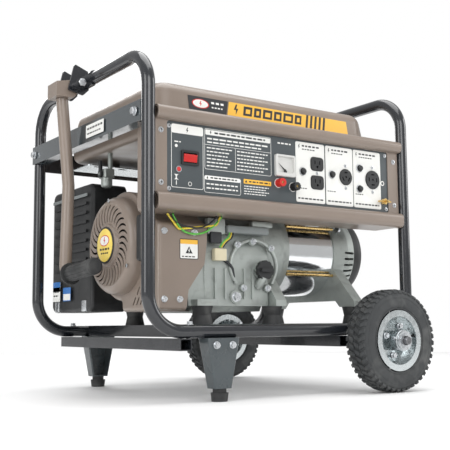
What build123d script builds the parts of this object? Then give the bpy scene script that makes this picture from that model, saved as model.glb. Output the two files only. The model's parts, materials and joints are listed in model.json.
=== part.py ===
"""Portable petrol generator in a tube frame, with wheels and a folding handle.

Millimetres. +Z is up, the control panel faces -Y, the recoil starter faces -X.
Coordinates are written from the middle of the tube frame, at floor level, and
every piece is moved by `frame_x` when it is written, so that the row's origin
is the bottom centre of the whole generator.
"""
import os
from math import cos, pi, radians, sin

from build123d import *

os.makedirs("parts", exist_ok=True)

# ---------------------------------------------------------------- dimensions
frame_x = 26.4          # frame middle in the row's frame

tube_d = 25.4           # frame tube
tube_wall = 1.8
bend_r = 70.0           # centre-line radius of every bend
post_x = 327.5          # posts, from the middle
post_y = 255.0
top_z = 650.0           # top tubes
rail_z = 130.0          # bottom rails
weld_x = 245.0          # where a hoop's tube meets the straight rail
tube_r = tube_d / 2

plate_z = (513.0, 553.0)      # end cross plates
cross_top = 142.0             # top of the engine cross members
mount_x = (-180.0, -10.0, 210.0)
mount_y = (-205.0, 65.0)
mount_d = 42.0
mount_top = 178.0

leg_x = -175.0          # legs
wheel_x = 220.0         # wheel axle
wheel_y = 310.0         # middle plane of each tyre
tyre_r = 106.0
axle_r = 8.0
running = 0.06          # radial clearance of a shaft in its bore

shaft_y = -70.0         # crankshaft axis
shaft_z = 300.0

tank_x = (-304.0, 284.0)
tank_y = (-226.0, 190.0)
flange_z = 548.0
crown_z = 614.0
tank_floor_z = 506.0

panel_x = (-314.0, 313.0)     # control panel housing
panel_z = (352.0, 546.0)
panel_y = (-257.0, -190.0)
face_x = (-289.0, 281.0)      # recessed face of the panel
face_z = (385.0, 520.0)
face_y = -255.0

lean = 25.0             # cylinder above the horizontal, towards +Y

hinge_y = 28.0          # middle of the folding handle's hinge
hinge_x = -356.0
hinge_z = 636.0


def save(piece, name):
    """Label a finished piece, put it in the row's frame and write it."""
    solid = piece.part.moved(Location((frame_x, 0, 0)))
    solid.label = name
    export_step(solid, f"parts/{name}.step")


def on_x(x):
    """Sketch plane across the shaft line: local x is +Y, local y is +Z."""
    return Plane(origin=(x, shaft_y, shaft_z), x_dir=(0, 1, 0), z_dir=(1, 0, 0))


def on_y(y, x=0.0, z=0.0):
    """Sketch plane facing the panel side: local x is +X, local y is +Z, normal -Y."""
    return Plane(origin=(x, y, z), x_dir=(1, 0, 0), z_dir=(0, -1, 0))


def middle(pair):
    return (pair[0] + pair[1]) / 2


def span(pair):
    return pair[1] - pair[0]


# --------------------------------------------------------------- tube frame
def hoop(side):
    """Inverted U of tube at one end, with its two bottom bends."""
    x = side * post_x
    corners = [
        (side * weld_x, -post_y, rail_z), (x, -post_y, rail_z), (x, -post_y, top_z),
        (x, post_y, top_z), (x, post_y, rail_z), (side * weld_x, post_y, rail_z),
    ]
    with BuildPart() as piece:
        with BuildLine() as route:
            FilletPolyline(*corners, radius=bend_r)
        start = Plane(origin=corners[0], z_dir=(side, 0, 0))
        with BuildSketch(start):
            Circle(tube_r)
            Circle(tube_r - tube_wall, mode=Mode.SUBTRACT)
        sweep(path=route.line)
    return piece


save(hoop(-1), "frame_hoop_left")
save(hoop(1), "frame_hoop_right")


with BuildPart() as frame_rails:       # straight bottom tubes between the hoops
    for y in (-post_y, post_y):
        with BuildSketch(Plane(origin=(-weld_x, y, rail_z), z_dir=(1, 0, 0))):
            Circle(tube_r)
            Circle(tube_r - tube_wall, mode=Mode.SUBTRACT)
        extrude(amount=2 * weld_x)
save(frame_rails, "frame_rails")


with BuildPart() as cross_plates:      # folded angles on the outside of the posts
    outer = post_x + tube_r
    for side in (-1, 1):
        with BuildSketch(Plane.XY.offset(plate_z[0])):
            with Locations((side * (outer + 1.5), 5)):
                Rectangle(3, 2 * post_y + 4)
        extrude(amount=span(plate_z))
        with BuildSketch(Plane.XY.offset(plate_z[0])):
            with Locations((side * (outer - 10), 0)):
                Rectangle(26, 2 * post_y - tube_d - 4)
        extrude(amount=3)
save(cross_plates, "cross_plates")

with BuildPart() as tank_rail:        # angle that carries the rear of the tank
    with BuildSketch(Plane.XY.offset(plate_z[0] - 16)):
        with Locations((0, post_y - 1.5)):
            Rectangle(2 * (post_x - tube_r), 3)
    extrude(amount=40)
    with BuildSketch(Plane.XY.offset(plate_z[0] + 21)):
        with Locations((0, post_y - 17)):
            Rectangle(2 * (post_x - tube_r), 28)
    extrude(amount=3)
save(tank_rail, "tank_support_rail")

with BuildPart() as crossmembers:     # channels between the rails, open below
    for x in mount_x:
        with BuildSketch(Plane(origin=(x, -post_y + tube_r, 0), x_dir=(1, 0, 0),
                               z_dir=(0, 1, 0))):
            with Locations((0, -cross_top + 12)):
                Rectangle(52, 24)
            with Locations((0, -cross_top + 13.5)):
                Rectangle(46, 21, mode=Mode.SUBTRACT)
        extrude(amount=2 * (post_y - tube_r))
    for x in (-253.0, 133.0):         # square tubes under the rails
        with BuildSketch(Plane(origin=(x, -post_y - 8, 105.8), x_dir=(1, 0, 0),
                               z_dir=(0, 1, 0))):
            Rectangle(25, 22)
            Rectangle(21, 18, mode=Mode.SUBTRACT)
        extrude(amount=2 * (post_y + 8))
save(crossmembers, "crossmembers")


# ---------------------------------------------------------- legs and wheels
with BuildPart() as legs:              # tapered folded-sheet legs, open towards the middle
    leg_top, leg_toe = rail_z - tube_r, 24.0
    for y, inward in ((-post_y, 1), (post_y, -1)):
        with BuildSketch(Plane.XY.offset(leg_toe)):
            with Locations((leg_x, y)):
                RectangleRounded(38, 30, 4)
        with BuildSketch(Plane.XY.offset(leg_top)):
            with Locations((leg_x, y)):
                RectangleRounded(72, 36, 4)
        loft()
        with BuildSketch(Plane.XY.offset(leg_toe + 3)):
            with Locations((leg_x, y + 3 * inward)):
                Rectangle(32.5, 31)
        with BuildSketch(Plane.XY.offset(leg_top - 3)):
            with Locations((leg_x, y + 3 * inward)):
                Rectangle(65, 37)
        loft(mode=Mode.SUBTRACT)
save(legs, "legs")

with BuildPart() as leg_feet:
    for y in (-post_y, post_y):
        with BuildSketch(Plane.XY):
            with Locations((leg_x, y)):
                Circle(15)
        with BuildSketch(Plane.XY.offset(16)):
            with Locations((leg_x, y)):
                Circle(17)
        loft()
        with BuildSketch(Plane.XY.offset(16)):
            with Locations((leg_x, y)):
                Circle(13)
        extrude(amount=8)
save(leg_feet, "leg_feet")

with BuildPart() as wheel_axle:        # rod with a washer and a cotter pin at each end
    with BuildSketch(Plane(origin=(wheel_x, -362, tyre_r), z_dir=(0, 1, 0))):
        Circle(axle_r)
    extrude(amount=724)
    chamfer(wheel_axle.edges().filter_by(GeomType.CIRCLE), 1.5)
    for side in (-1, 1):
        with BuildSketch(Plane(origin=(wheel_x, side * 352, tyre_r), z_dir=(0, side, 0))):
            Circle(9.5)
        extrude(amount=2)
        with BuildSketch(Plane.XY.offset(tyre_r - 9.5)):
            with Locations((wheel_x, side * 356.6)):
                Circle(1.6)
        extrude(amount=19)
save(wheel_axle, "wheel_axle")

with BuildPart() as axle_brackets:     # folded saddles that hang the axle from the rails
    for y in (-post_y, post_y):
        with BuildSketch(Plane(origin=(wheel_x, y - 14, 0), x_dir=(1, 0, 0),
                               z_dir=(0, 1, 0))):
            with Locations((0, -103.5)):
                Rectangle(44, 27)
            with Locations((0, -tyre_r)):
                Circle(axle_r + 0.05, mode=Mode.SUBTRACT)
        extrude(amount=28)
        with BuildSketch(Plane.XY.offset(93)):
            with Locations((wheel_x, y)):
                Rectangle(60, 20)
        extrude(amount=20.5, mode=Mode.SUBTRACT)
save(axle_brackets, "axle_brackets")


def wheel_plane(side):
    """Half-plane for turned wheel parts: local x is the radius, local y goes outboard."""
    return Plane(origin=(wheel_x, side * wheel_y, tyre_r), x_dir=(1, 0, 0),
                 z_dir=(0, 0, -side))


def wheel_axis(side):
    return Axis((wheel_x, side * wheel_y, tyre_r), (0, 1, 0))


def tyre(side):
    with BuildPart() as piece:
        with BuildSketch(wheel_plane(side)):
            with BuildLine():
                Line((58.4, -13), (58.4, -21))
                ThreePointArc((58.4, -21), (80, -27), (98, -23.5))
                ThreePointArc((98, -23.5), (103.4, -19.5), (tyre_r - 0.6, -13))
                ThreePointArc((tyre_r - 0.6, -13), (tyre_r, 0), (tyre_r - 0.6, 13))
                ThreePointArc((tyre_r - 0.6, 13), (103.4, 19.5), (98, 23.5))
                ThreePointArc((98, 23.5), (80, 27), (58.4, 21))
                Line((58.4, 21), (58.4, 13))
                ThreePointArc((58.4, 13), (80, 21), (94, 14))
                Line((94, 14), (94, -14))
                ThreePointArc((94, -14), (80, -21), (58.4, -13))
            make_face()
        revolve(axis=wheel_axis(side))
    return piece


def rim(side):
    """Rolled flanges, well, dished web and hub tube, with eight holes in the web."""
    with BuildPart() as piece:
        with BuildSketch(wheel_plane(side)):
            with Locations((56, -24.3), (56, 24.3)):     # rolled flanges
                Rectangle(13, 2.6)
            with Locations((56, 0)):                      # well
                Rectangle(3, 51)
            with Locations((16, 1)):                      # hub tube
                Rectangle(9, 80)
            with BuildLine():                             # dished web
                Polyline((14, 13.5), (36, 13.5), (44, 1.5), (56, 1.5), (56, 4.5),
                         (45.6, 4.5), (37.6, 16.5), (14, 16.5), close=True)
            make_face()
            with Locations(((axle_r + 12) / 2, -35), ((axle_r + 12) / 2, 37)):
                Rectangle(12 - axle_r - 2 * running, 8)   # bearing rings
        revolve(axis=wheel_axis(side))
        with BuildSketch(Plane(origin=(wheel_x, side * (wheel_y + 10), tyre_r),
                               x_dir=(1, 0, 0), z_dir=(0, -side, 0))):
            with PolarLocations(50, 8, start_angle=22.5):
                Circle(2.4)
        extrude(amount=20, mode=Mode.SUBTRACT)
    return piece


for side, end in ((-1, "front"), (1, "rear")):
    save(tyre(side), f"tyre_{end}")
    save(rim(side), f"rim_{end}")


# -------------------------------------------------------------- fuel system
def tank_outline(grow=0.0, mode=Mode.ADD):
    """Rounded plan of the tank, grown or shrunk all round."""
    with Locations((middle(tank_x), middle(tank_y))):
        RectangleRounded(span(tank_x) + 2 * grow, span(tank_y) + 2 * grow, 58 + grow,
                         mode=mode)


cap_at = (-40.0, 40.0)
with BuildPart() as tank_upper:        # pressed dome with a flat seam flange
    with BuildSketch(Plane.XY.offset(flange_z)):
        tank_outline(-9)
    extrude(amount=crown_z - flange_z, taper=11)
    fillet(tank_upper.faces().sort_by(Axis.Z)[-1].edges(), 26)
    offset(amount=-2, openings=tank_upper.faces().sort_by(Axis.Z)[0])
    with BuildSketch(Plane.XY.offset(flange_z)):
        tank_outline()
        tank_outline(-11, mode=Mode.SUBTRACT)
    extrude(amount=1.6)
    with BuildSketch(Plane.XY.offset(crown_z - 8)):       # filler neck
        with Locations(cap_at):
            Circle(27)
    extrude(amount=20)
    with BuildSketch(Plane.XY.offset(crown_z - 8)):
        with Locations(cap_at):
            Circle(24)
    extrude(amount=24, mode=Mode.SUBTRACT)
save(tank_upper, "fuel_tank_upper")

tray_y = (-186.0, 181.0)
with BuildPart() as tank_lower:        # pressed tray with the matching flange
    with BuildSketch(Plane.XY.offset(flange_z - 1.6)):
        tank_outline()
    extrude(amount=1.6)
    with BuildSketch(Plane.XY.offset(flange_z)):
        with Locations((middle(tank_x), middle(tray_y))):
            RectangleRounded(span(tank_x) - 18, span(tray_y), 40)
    extrude(amount=tank_floor_z - flange_z, taper=8)
    fillet(tank_lower.faces().sort_by(Axis.Z)[0].edges(), 14)
    with BuildSketch(Plane.XY.offset(flange_z)):
        with Locations((middle(tank_x), middle(tray_y))):
            RectangleRounded(span(tank_x) - 22, span(tray_y) - 4, 38)
    extrude(amount=tank_floor_z + 16 - flange_z, taper=8, mode=Mode.SUBTRACT)
    with BuildSketch(Plane.XY.offset(tank_floor_z + 17)):
        with Locations((middle(tank_x), middle(tray_y))):
            RectangleRounded(span(tank_x) - 50, span(tray_y) - 32, 24)
    extrude(amount=-15, mode=Mode.SUBTRACT)
save(tank_lower, "fuel_tank_lower")

with BuildPart() as fuel_cap:          # vented cap with a knurled edge
    with BuildSketch(Plane.XY.offset(crown_z + 1)):
        with Locations(cap_at):
            Circle(33)
    extrude(amount=17)
    fillet(fuel_cap.faces().sort_by(Axis.Z)[-1].edges(), 4)
    with BuildSketch(Plane.XY.offset(crown_z - 3)):
        with Locations(cap_at):
            Circle(30)
    extrude(amount=16.5, mode=Mode.SUBTRACT)
    with BuildSketch(Plane.XY.offset(crown_z - 6)):
        with Locations(cap_at):
            Circle(22)
            Circle(18, mode=Mode.SUBTRACT)
    extrude(amount=23)
    with BuildSketch(Plane.XY.offset(crown_z)):
        with Locations(cap_at):
            with PolarLocations(33.6, 18):
                Circle(1.8)
    extrude(amount=12, mode=Mode.SUBTRACT)
save(fuel_cap, "fuel_cap")

with BuildPart() as heat_shield:       # plate between the tank and the hot engine
    with BuildSketch(Plane.XY.offset(493)):
        with Locations((middle(tank_x), 140)):
            RectangleRounded(540, 90, 12)
        with Locations(*[(middle(tank_x) + 60 * step, 108) for step in range(-4, 5)]):
            SlotOverall(22, 10, mode=Mode.SUBTRACT)
    extrude(amount=2)
    with BuildSketch(Plane.XY.offset(495)):               # pads that carry the tank
        with Locations((-200, 150), (0, 150), (200, 150)):
            Rectangle(40, 20)
    extrude(amount=tank_floor_z - 495)
save(heat_shield, "heat_shield")

valve_x, valve_y, valve_z = -275.0, 17.0, 460.0
with BuildPart() as fuel_valve:        # tap body with its sediment bowl
    with BuildSketch(Plane.XY.offset(valve_z - 28)):
        with Locations((valve_x, valve_y)):
            Circle(12)
    extrude(amount=20)
    fillet(fuel_valve.faces().sort_by(Axis.Z)[0].edges(), 5)
    with BuildSketch(Plane.XY.offset(valve_z - 8)):
        with Locations((valve_x, valve_y)):
            RectangleRounded(24, 30, 4)
    extrude(amount=18)
    with BuildSketch(Plane.XY.offset(valve_z + 10)):
        with Locations((valve_x + 8, valve_y)):
            Circle(5)
    extrude(amount=tank_floor_z - valve_z - 10)
    with BuildSketch(Plane(origin=(valve_x - 12, valve_y, valve_z), z_dir=(-1, 0, 0))):
        Circle(3)
    extrude(amount=6)
save(fuel_valve, "fuel_valve")

with BuildPart() as fuel_valve_lever:
    with BuildSketch(Plane(origin=(valve_x - 12.4, valve_y, valve_z),
                           x_dir=(0, 1, 0), z_dir=(-1, 0, 0))):
        Circle(8)
        with Locations((0, -14)):
            SlotOverall(30, 9, rotation=90)
        Circle(3.05, mode=Mode.SUBTRACT)
    extrude(amount=5)
save(fuel_valve_lever, "fuel_valve_lever")


# ------------------------------------------------------------ control panel
rail_y = (-271.0, -241.0)               # rolled rails stand proud of the face


def rail_section(low, high, inset=0.0):
    """Rounded section of a rolled rail between two heights."""
    with Locations((middle(rail_y) - shaft_y, (low + high) / 2 - shaft_z)):
        RectangleRounded(span(rail_y) - 2 * inset, high - low - 2 * inset, 11 - inset)


with BuildPart() as panel_housing:     # pressed box between two rolled rails
    with BuildSketch(on_y(panel_y[1], middle(panel_x), middle(panel_z))):
        RectangleRounded(span(panel_x), span(panel_z), 10)
    extrude(amount=span(panel_y))
    fillet(panel_housing.faces().sort_by(Axis.Y)[0].edges(), 2.5)
    with BuildSketch(on_y(face_y + 2.4, middle(face_x), middle(face_z))):
        RectangleRounded(span(face_x), span(face_z), 6)
    extrude(amount=20, mode=Mode.SUBTRACT)
    with BuildSketch(on_y(panel_y[1], middle(panel_x), middle(panel_z))):
        RectangleRounded(span(panel_x) - 5, span(panel_z) - 5, 8)
    extrude(amount=-(face_y + 4.4 - panel_y[1]), mode=Mode.SUBTRACT)
    with BuildSketch(on_y(face_y + 6, middle(face_x), middle(face_z))):
        with Locations((0, 0)):
            Rectangle(span(face_x) - 24, span(face_z) - 20)
    extrude(amount=8, mode=Mode.SUBTRACT)
    for low, high in ((521, panel_z[1]), (panel_z[0], 384)):
        with BuildSketch(on_x(panel_x[0])):
            rail_section(low, high)
        extrude(amount=span(panel_x))
        for end, depth in ((panel_x[0], 20), (panel_x[1], -20)):
            with BuildSketch(on_x(end)):                  # open rail ends
                rail_section(low, high, 4)
            extrude(amount=depth, mode=Mode.SUBTRACT)
save(panel_housing, "panel_housing")

# Panel fittings: centre of each on the face, across and up.
switch_at = (-238.5, 453.0)
meter_at = (-12.0, 460.5)
duplex_at = (75.0, 453.5)
twist_small_at = (155.0, 453.0)
twist_large_at = (234.0, 454.0)
breakers_at = ((36.0, 454.0), (116.0, 455.0), (196.0, 476.0), (195.0, 431.0))
posts_at = ((-28.0, 424.0), (9.5, 419.0))
ground_at = (261.0, 407.0)
switch_size = (39.0, 28.0)
meter_size = (50.0, 45.0)


def at_face(points):
    """Points on the panel face, measured from the face sketch's own centre."""
    cx, cz = middle(face_x), middle(face_z)
    return [(x - cx, z - cz) for x, z in points]


def face_plane(y):
    return on_y(y, middle(face_x), middle(face_z))


with BuildPart() as panel_face:
    with BuildSketch(face_plane(face_y + 2)):
        RectangleRounded(span(face_x) - 1, span(face_z) - 1, 5.5)
        with Locations(*at_face([switch_at])):
            Rectangle(switch_size[0] - 5, switch_size[1] - 5, mode=Mode.SUBTRACT)
        with Locations(*at_face([meter_at])):
            Rectangle(meter_size[0] - 6, meter_size[1] - 6, mode=Mode.SUBTRACT)
        with Locations(*at_face([(duplex_at[0], duplex_at[1] + 19.5),
                                 (duplex_at[0], duplex_at[1] - 19.5)])):
            RectangleRounded(34.6, 28.6, 8, mode=Mode.SUBTRACT)
        with Locations(*at_face([twist_small_at])):
            Circle(17.3, mode=Mode.SUBTRACT)
        with Locations(*at_face([twist_large_at])):
            Circle(20.3, mode=Mode.SUBTRACT)
        with Locations(*at_face(breakers_at)):
            Circle(7.5, mode=Mode.SUBTRACT)
        with Locations(*at_face(posts_at)):
            Circle(3.05, mode=Mode.SUBTRACT)
        with Locations(*at_face([ground_at])):
            Circle(3.05, mode=Mode.SUBTRACT)
    extrude(amount=2)
save(panel_face, "panel_face")

with BuildPart() as switch_body:       # bezel and body of the rocker switch
    with BuildSketch(on_y(face_y, *switch_at)):
        RectangleRounded(*switch_size, 3)
        Rectangle(switch_size[0] - 9, switch_size[1] - 9, mode=Mode.SUBTRACT)
    extrude(amount=3)
    with BuildSketch(on_y(face_y + 24, *switch_at)):
        Rectangle(switch_size[0] - 5.4, switch_size[1] - 5.4)
    extrude(amount=24)
    with BuildSketch(on_y(face_y + 12, *switch_at)):
        Rectangle(switch_size[0] - 9, switch_size[1] - 9)
    extrude(amount=14, mode=Mode.SUBTRACT)
save(switch_body, "switch_body")

rocker_depth = 4.0      # rocker pivot behind the panel face
with BuildPart() as switch_rocker:
    with BuildSketch(Plane(origin=(switch_at[0] - 14.7, face_y + rocker_depth, switch_at[1]),
                           x_dir=(0, -1, 0), z_dir=(1, 0, 0))):
        with BuildLine():
            Line((-5, 2.5), (-5, -2.5))
            Line((-5, -2.5), (9.0, -7.0))
            ThreePointArc((9.0, -7.0), (7.4, 0.4), (6.6, 8.2))
            Line((6.6, 8.2), (-5, 2.5))
        make_face()
    extrude(amount=29.4)
    fillet(switch_rocker.edges().filter_by(Axis.X), 0.6)
save(switch_rocker, "switch_rocker")

with BuildPart() as voltmeter:         # round-cornered case with an open dial window
    with BuildSketch(on_y(face_y + 22, *meter_at)):
        Rectangle(meter_size[0] - 6.6, meter_size[1] - 6.6)
    extrude(amount=22)
    with BuildSketch(on_y(face_y, *meter_at)):
        RectangleRounded(*meter_size, 4)
    extrude(amount=7)
    fillet(voltmeter.faces().sort_by(Axis.Y)[0].edges(), 1.5)
    with BuildSketch(on_y(face_y - 2, meter_at[0], meter_at[1] + 2)):
        RectangleRounded(42, 33, 3)
    extrude(amount=6, mode=Mode.SUBTRACT)
save(voltmeter, "voltmeter")

needle_at = (meter_at[0], meter_at[1] - 10.0)
with BuildPart() as voltmeter_needle:
    with BuildSketch(on_y(face_y - 3.2, *needle_at)):
        Circle(3)
        with BuildLine():
            Polyline((-1, -1.2), (1, 1.2), (-17, 14.2), close=True)
        make_face()
    extrude(amount=0.8)
save(voltmeter_needle, "voltmeter_needle")

with BuildPart() as duplex_outlet:     # two grounded straight-blade sockets
    for dz in (-19.5, 19.5):
        with BuildSketch(on_y(face_y + 20, duplex_at[0], duplex_at[1] + dz)):
            RectangleRounded(34, 28, 7.5)
        extrude(amount=22.5)
        with BuildSketch(on_y(face_y + 8, duplex_at[0], duplex_at[1] + dz)):
            with Locations((-6.4, 3), (6.4, 3)):
                Rectangle(2.2, 8)
            with Locations((0, -6)):
                Circle(2.6)
        extrude(amount=12, mode=Mode.SUBTRACT)
    with BuildSketch(on_y(face_y + 22, *duplex_at)):
        Rectangle(30, 96)
    extrude(amount=6)
save(duplex_outlet, "duplex_outlet")


with BuildPart() as twist_outlets:     # round locking sockets with three and four slots
    for at, radius, blades in ((twist_small_at, 17, 3), (twist_large_at, 20, 4)):
        with BuildSketch(on_y(face_y + 34, *at)):
            Circle(radius)
        extrude(amount=37)
        with BuildSketch(on_y(face_y + 12, *at)):
            with PolarLocations(radius * 0.56, blades, start_angle=90):
                Rectangle(2.6, 9)
            Circle(2.2)
        extrude(amount=16, mode=Mode.SUBTRACT)
save(twist_outlets, "twist_outlets")

with BuildPart() as breaker_bodies:    # threaded collars and bodies of the breakers
    for at in breakers_at:
        with BuildSketch(on_y(face_y + 26, *at)):
            Rectangle(16, 30)
        extrude(amount=23.8)
        with BuildSketch(on_y(face_y + 4, *at)):
            Circle(7.4)
        extrude(amount=7)
        with BuildSketch(on_y(face_y + 10, *at)):
            Circle(5.6)
        extrude(amount=14, mode=Mode.SUBTRACT)
save(breaker_bodies, "breaker_bodies")

for number, at in enumerate(breakers_at, start=1):
    with BuildPart() as button:
        with BuildSketch(on_y(face_y + 4, *at)):
            Circle(5.3)
        extrude(amount=12)
        fillet(button.faces().sort_by(Axis.Y)[0].edges(), 1.2)
    save(button, f"breaker_button_{number}")

with BuildPart() as panel_studs:       # threaded studs of the posts and the ground
    for at in posts_at + (ground_at,):
        with BuildSketch(on_y(face_y + 14, *at)):
            Circle(3)
        extrude(amount=28.5)
        with BuildSketch(on_y(face_y + 14, *at)):
            RegularPolygon(6, 6)
        extrude(amount=5)
    with BuildSketch(on_y(face_y - 14.5, *ground_at)):
        Circle(2.4)
    extrude(amount=7.5)
save(panel_studs, "panel_studs")

for name, at in zip(("dc_post_red", "dc_post_black"), posts_at):
    with BuildPart() as post:
        with BuildSketch(on_y(face_y - 0.4, *at)):
            Circle(8.5)
            Circle(3.05, mode=Mode.SUBTRACT)
        extrude(amount=16)
        with BuildSketch(on_y(face_y, *at)):
            with PolarLocations(9, 12):
                Circle(1.2)
        extrude(amount=17, mode=Mode.SUBTRACT)
    save(post, name)

with BuildPart() as wing_nut:
    with BuildSketch(on_y(face_y - 6, *ground_at)):
        Circle(6.5)
        with Locations((-11, 0), (11, 0)):
            RectangleRounded(12, 3.4, 1.5)
        Circle(3.05, mode=Mode.SUBTRACT)
    extrude(amount=7)
save(wing_nut, "ground_wing_nut")


# ------------------------------------------------------------------- engine
case_x = (-211.0, -16.0)
case_step = -174.0      # in front of this the case is slim enough for the shroud
with BuildPart() as crankcase:         # cast case, open inside, with feet and filler neck
    with BuildSketch(on_x(case_step)):
        with BuildLine():
            Polyline((-134, -121.7), (-110, -121.7), (-104, -132), (104, -132),
                     (110, -121.7), (130, -121.7), (130, -40), (96, 40), (50, 122),
                     (-60, 104), (-118, 40), (-134, -20), close=True)
        make_face()
    extrude(amount=case_x[1] - case_step)
    with BuildSketch(on_x(case_x[0])):
        with BuildLine():
            Polyline((-134, -121.7), (-110, -121.7), (-106, -126), (-4, -126), (-4, -104),
                     (60, -80),
                     (90, -40), (90, 30), (40, 90), (-50, 84), (-100, 50), (-130, 26),
                     close=True)
        make_face()
    extrude(amount=case_step - case_x[0])
    fillet(crankcase.faces().sort_by(Axis.X)[-1].edges(), 5)
    with BuildSketch(on_x(case_step + 8)):
        with BuildLine():
            Polyline((-124, -113), (-104, -113), (-98, -124), (98, -124), (104, -113),
                     (121, -113), (121, -42), (88, 36), (44, 112), (-56, 94), (-109, 36),
                     (-124, -18), close=True)
        make_face()
    extrude(amount=case_x[1] - case_step - 16, mode=Mode.SUBTRACT)
    with BuildSketch(on_x(case_x[0] - 1)):                # main bearing bores
        Circle(17 + running)
    extrude(amount=span(case_x) + 2, mode=Mode.SUBTRACT)
    with BuildSketch(on_y(-198, case_x[1] - 22, 250)):    # oil filler neck
        Circle(17)
    extrude(amount=16)
    with BuildSketch(on_y(-190, case_x[1] - 22, 250)):
        Circle(12)
    extrude(amount=26, mode=Mode.SUBTRACT)
    for x in (-150, -126, -80, -60):                      # cast ribs on the panel side
        with BuildSketch(on_y(shaft_y - 130, x, 222)):
            Rectangle(4, 60)
        extrude(amount=8)
    with BuildSketch(on_y(shaft_y - 124, -102, 196)):     # drain boss
        Circle(13)
    extrude(amount=14)
    with BuildSketch(Plane.XY.offset(mount_top)):         # feet
        with Locations((mount_x[0], mount_y[0] - 4), (mount_x[0], mount_y[1] + 4)):
            Rectangle(48, 34)
    extrude(amount=12)
    lean_plane = Plane(origin=(-120, shaft_y, shaft_z), x_dir=(1, 0, 0),
                       z_dir=(0, cos(radians(lean)), sin(radians(lean))))
    with BuildSketch(lean_plane.offset(60)):              # cylinder opening
        Circle(38)
    extrude(amount=90, mode=Mode.SUBTRACT)
save(crankcase, "crankcase")

with BuildPart() as oil_filler_cap:
    with BuildSketch(on_y(-214.4, case_x[1] - 22, 250)):
        Circle(20)
    extrude(amount=9)
    with BuildSketch(on_y(-214.4, case_x[1] - 22, 250)):
        with PolarLocations(21.5, 10):
            Circle(3.2)
    extrude(amount=10, mode=Mode.SUBTRACT)
    with BuildSketch(on_y(-223, case_x[1] - 22, 250)):
        RectangleRounded(30, 7, 3)
    extrude(amount=8)
    with BuildSketch(on_y(-200, case_x[1] - 22, 250)):
        Circle(11.7)
    extrude(amount=15)
save(oil_filler_cap, "oil_filler_cap")

with BuildPart() as cylinder:          # finned barrel leaning to the rear
    for step in range(9):
        with BuildSketch(lean_plane.offset(112 + 8 * step)):
            RectangleRounded(104, 104, 12)
        extrude(amount=3)
    with BuildSketch(lean_plane.offset(106)):
        RectangleRounded(96, 96, 14)
    extrude(amount=6)
    with BuildSketch(lean_plane.offset(106)):
        Circle(44)
    extrude(amount=74)
    with BuildSketch(lean_plane.offset(100)):
        Circle(36)
    extrude(amount=90, mode=Mode.SUBTRACT)
save(cylinder, "cylinder")

with BuildPart() as cylinder_head:     # finned head, pressed valve cover
    with BuildSketch(lean_plane.offset(180.2)):
        RectangleRounded(108, 108, 12)
    extrude(amount=10)
    for step in range(3):
        with BuildSketch(lean_plane.offset(190 + 8 * step)):
            RectangleRounded(90, 96, 8)
        extrude(amount=5)
        with BuildSketch(lean_plane.offset(195 + 8 * step)):
            RectangleRounded(108, 108, 12)
        extrude(amount=3)
    with BuildSketch(lean_plane.offset(214)):
        RectangleRounded(86, 92, 12)
    extrude(amount=22)
    fillet(cylinder_head.faces().sort_by(Axis.Y)[-1].edges(), 5)
save(cylinder_head, "cylinder_head")

shroud_x = (-284.0, -176.0)
with BuildPart() as fan_shroud:        # pressed cowl that guides the cooling air
    with BuildSketch(on_x(shroud_x[1])):
        Circle(110)
        with BuildLine():
            Polyline((0, -132), (-147, -132), (-147, 32), (-121, 46), (-60, 90), (0, 110),
                     close=True)
        make_face()
    extrude(amount=-span(shroud_x))
    fillet(fan_shroud.edges().filter_by(Axis.X), 9)
    fillet(fan_shroud.faces().sort_by(Axis.X)[0].edges(), 8)
    with BuildSketch(on_x(shroud_x[1] + 1)):
        Circle(107.5)
        with BuildLine():
            Polyline((0, -129.5), (-144.5, -129.5), (-144.5, 30.5), (-120, 43.5), (-59, 87),
                     (0, 107.5), close=True)
        make_face()
    extrude(amount=-span(shroud_x) + 1.5, mode=Mode.SUBTRACT)
    with BuildSketch(on_x(shroud_x[0] - 1)):              # air inlet behind the recoil cover
        Circle(84)
    extrude(amount=6, mode=Mode.SUBTRACT)
    with BuildSketch(on_y(-150)):                         # slanted trailing edge
        with BuildLine():
            Polyline((-170, 345), (-182, 257), (-218, 208), (-224, 165), (-170, 165),
                     close=True)
        make_face()
    extrude(amount=80, mode=Mode.SUBTRACT)
    for dy in (-106, -95):                                # cooling slots beside the recoil
        for dz in (-17, 17):
            with BuildSketch(on_x(shroud_x[0] - 1)):
                with Locations((dy, dz + 4)):
                    Rectangle(4, 26)
            extrude(amount=6, mode=Mode.SUBTRACT)
    for step in range(3):
        for row in range(2):
            with BuildSketch(on_x(shroud_x[0] - 1)):
                with Locations(Location((-70 - 14 * step + 16 * row, -92 - 20 * row, 0), 35)):
                    Rectangle(4, 18)
            extrude(amount=6, mode=Mode.SUBTRACT)
save(fan_shroud, "fan_shroud")

recoil_x = shroud_x[0]
with BuildPart() as recoil_cover:      # domed starter housing with raked air slots
    with BuildSketch(on_x(recoil_x)):
        Circle(98)
    extrude(amount=-30)
    fillet(recoil_cover.faces().sort_by(Axis.X)[0].edges(), 18)
    with BuildSketch(on_x(recoil_x)):
        Circle(95.5)
    extrude(amount=-11, mode=Mode.SUBTRACT)
    with BuildSketch(on_x(recoil_x - 10)):
        Circle(80)
    extrude(amount=-17.5, mode=Mode.SUBTRACT)
    with BuildSketch(on_x(recoil_x - 28)):                # raised centre boss
        Circle(42)
    extrude(amount=-8)
    fillet(recoil_cover.faces().sort_by(Axis.X)[0].edges(), 5)
    with BuildSketch(on_x(recoil_x - 40)):
        with PolarLocations(0, 30):
            SlotArc(ThreePointArc((47, -4), (67, 3), (82, 20)), 4.2)
    extrude(amount=30, mode=Mode.SUBTRACT)
save(recoil_cover, "recoil_cover")

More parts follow.
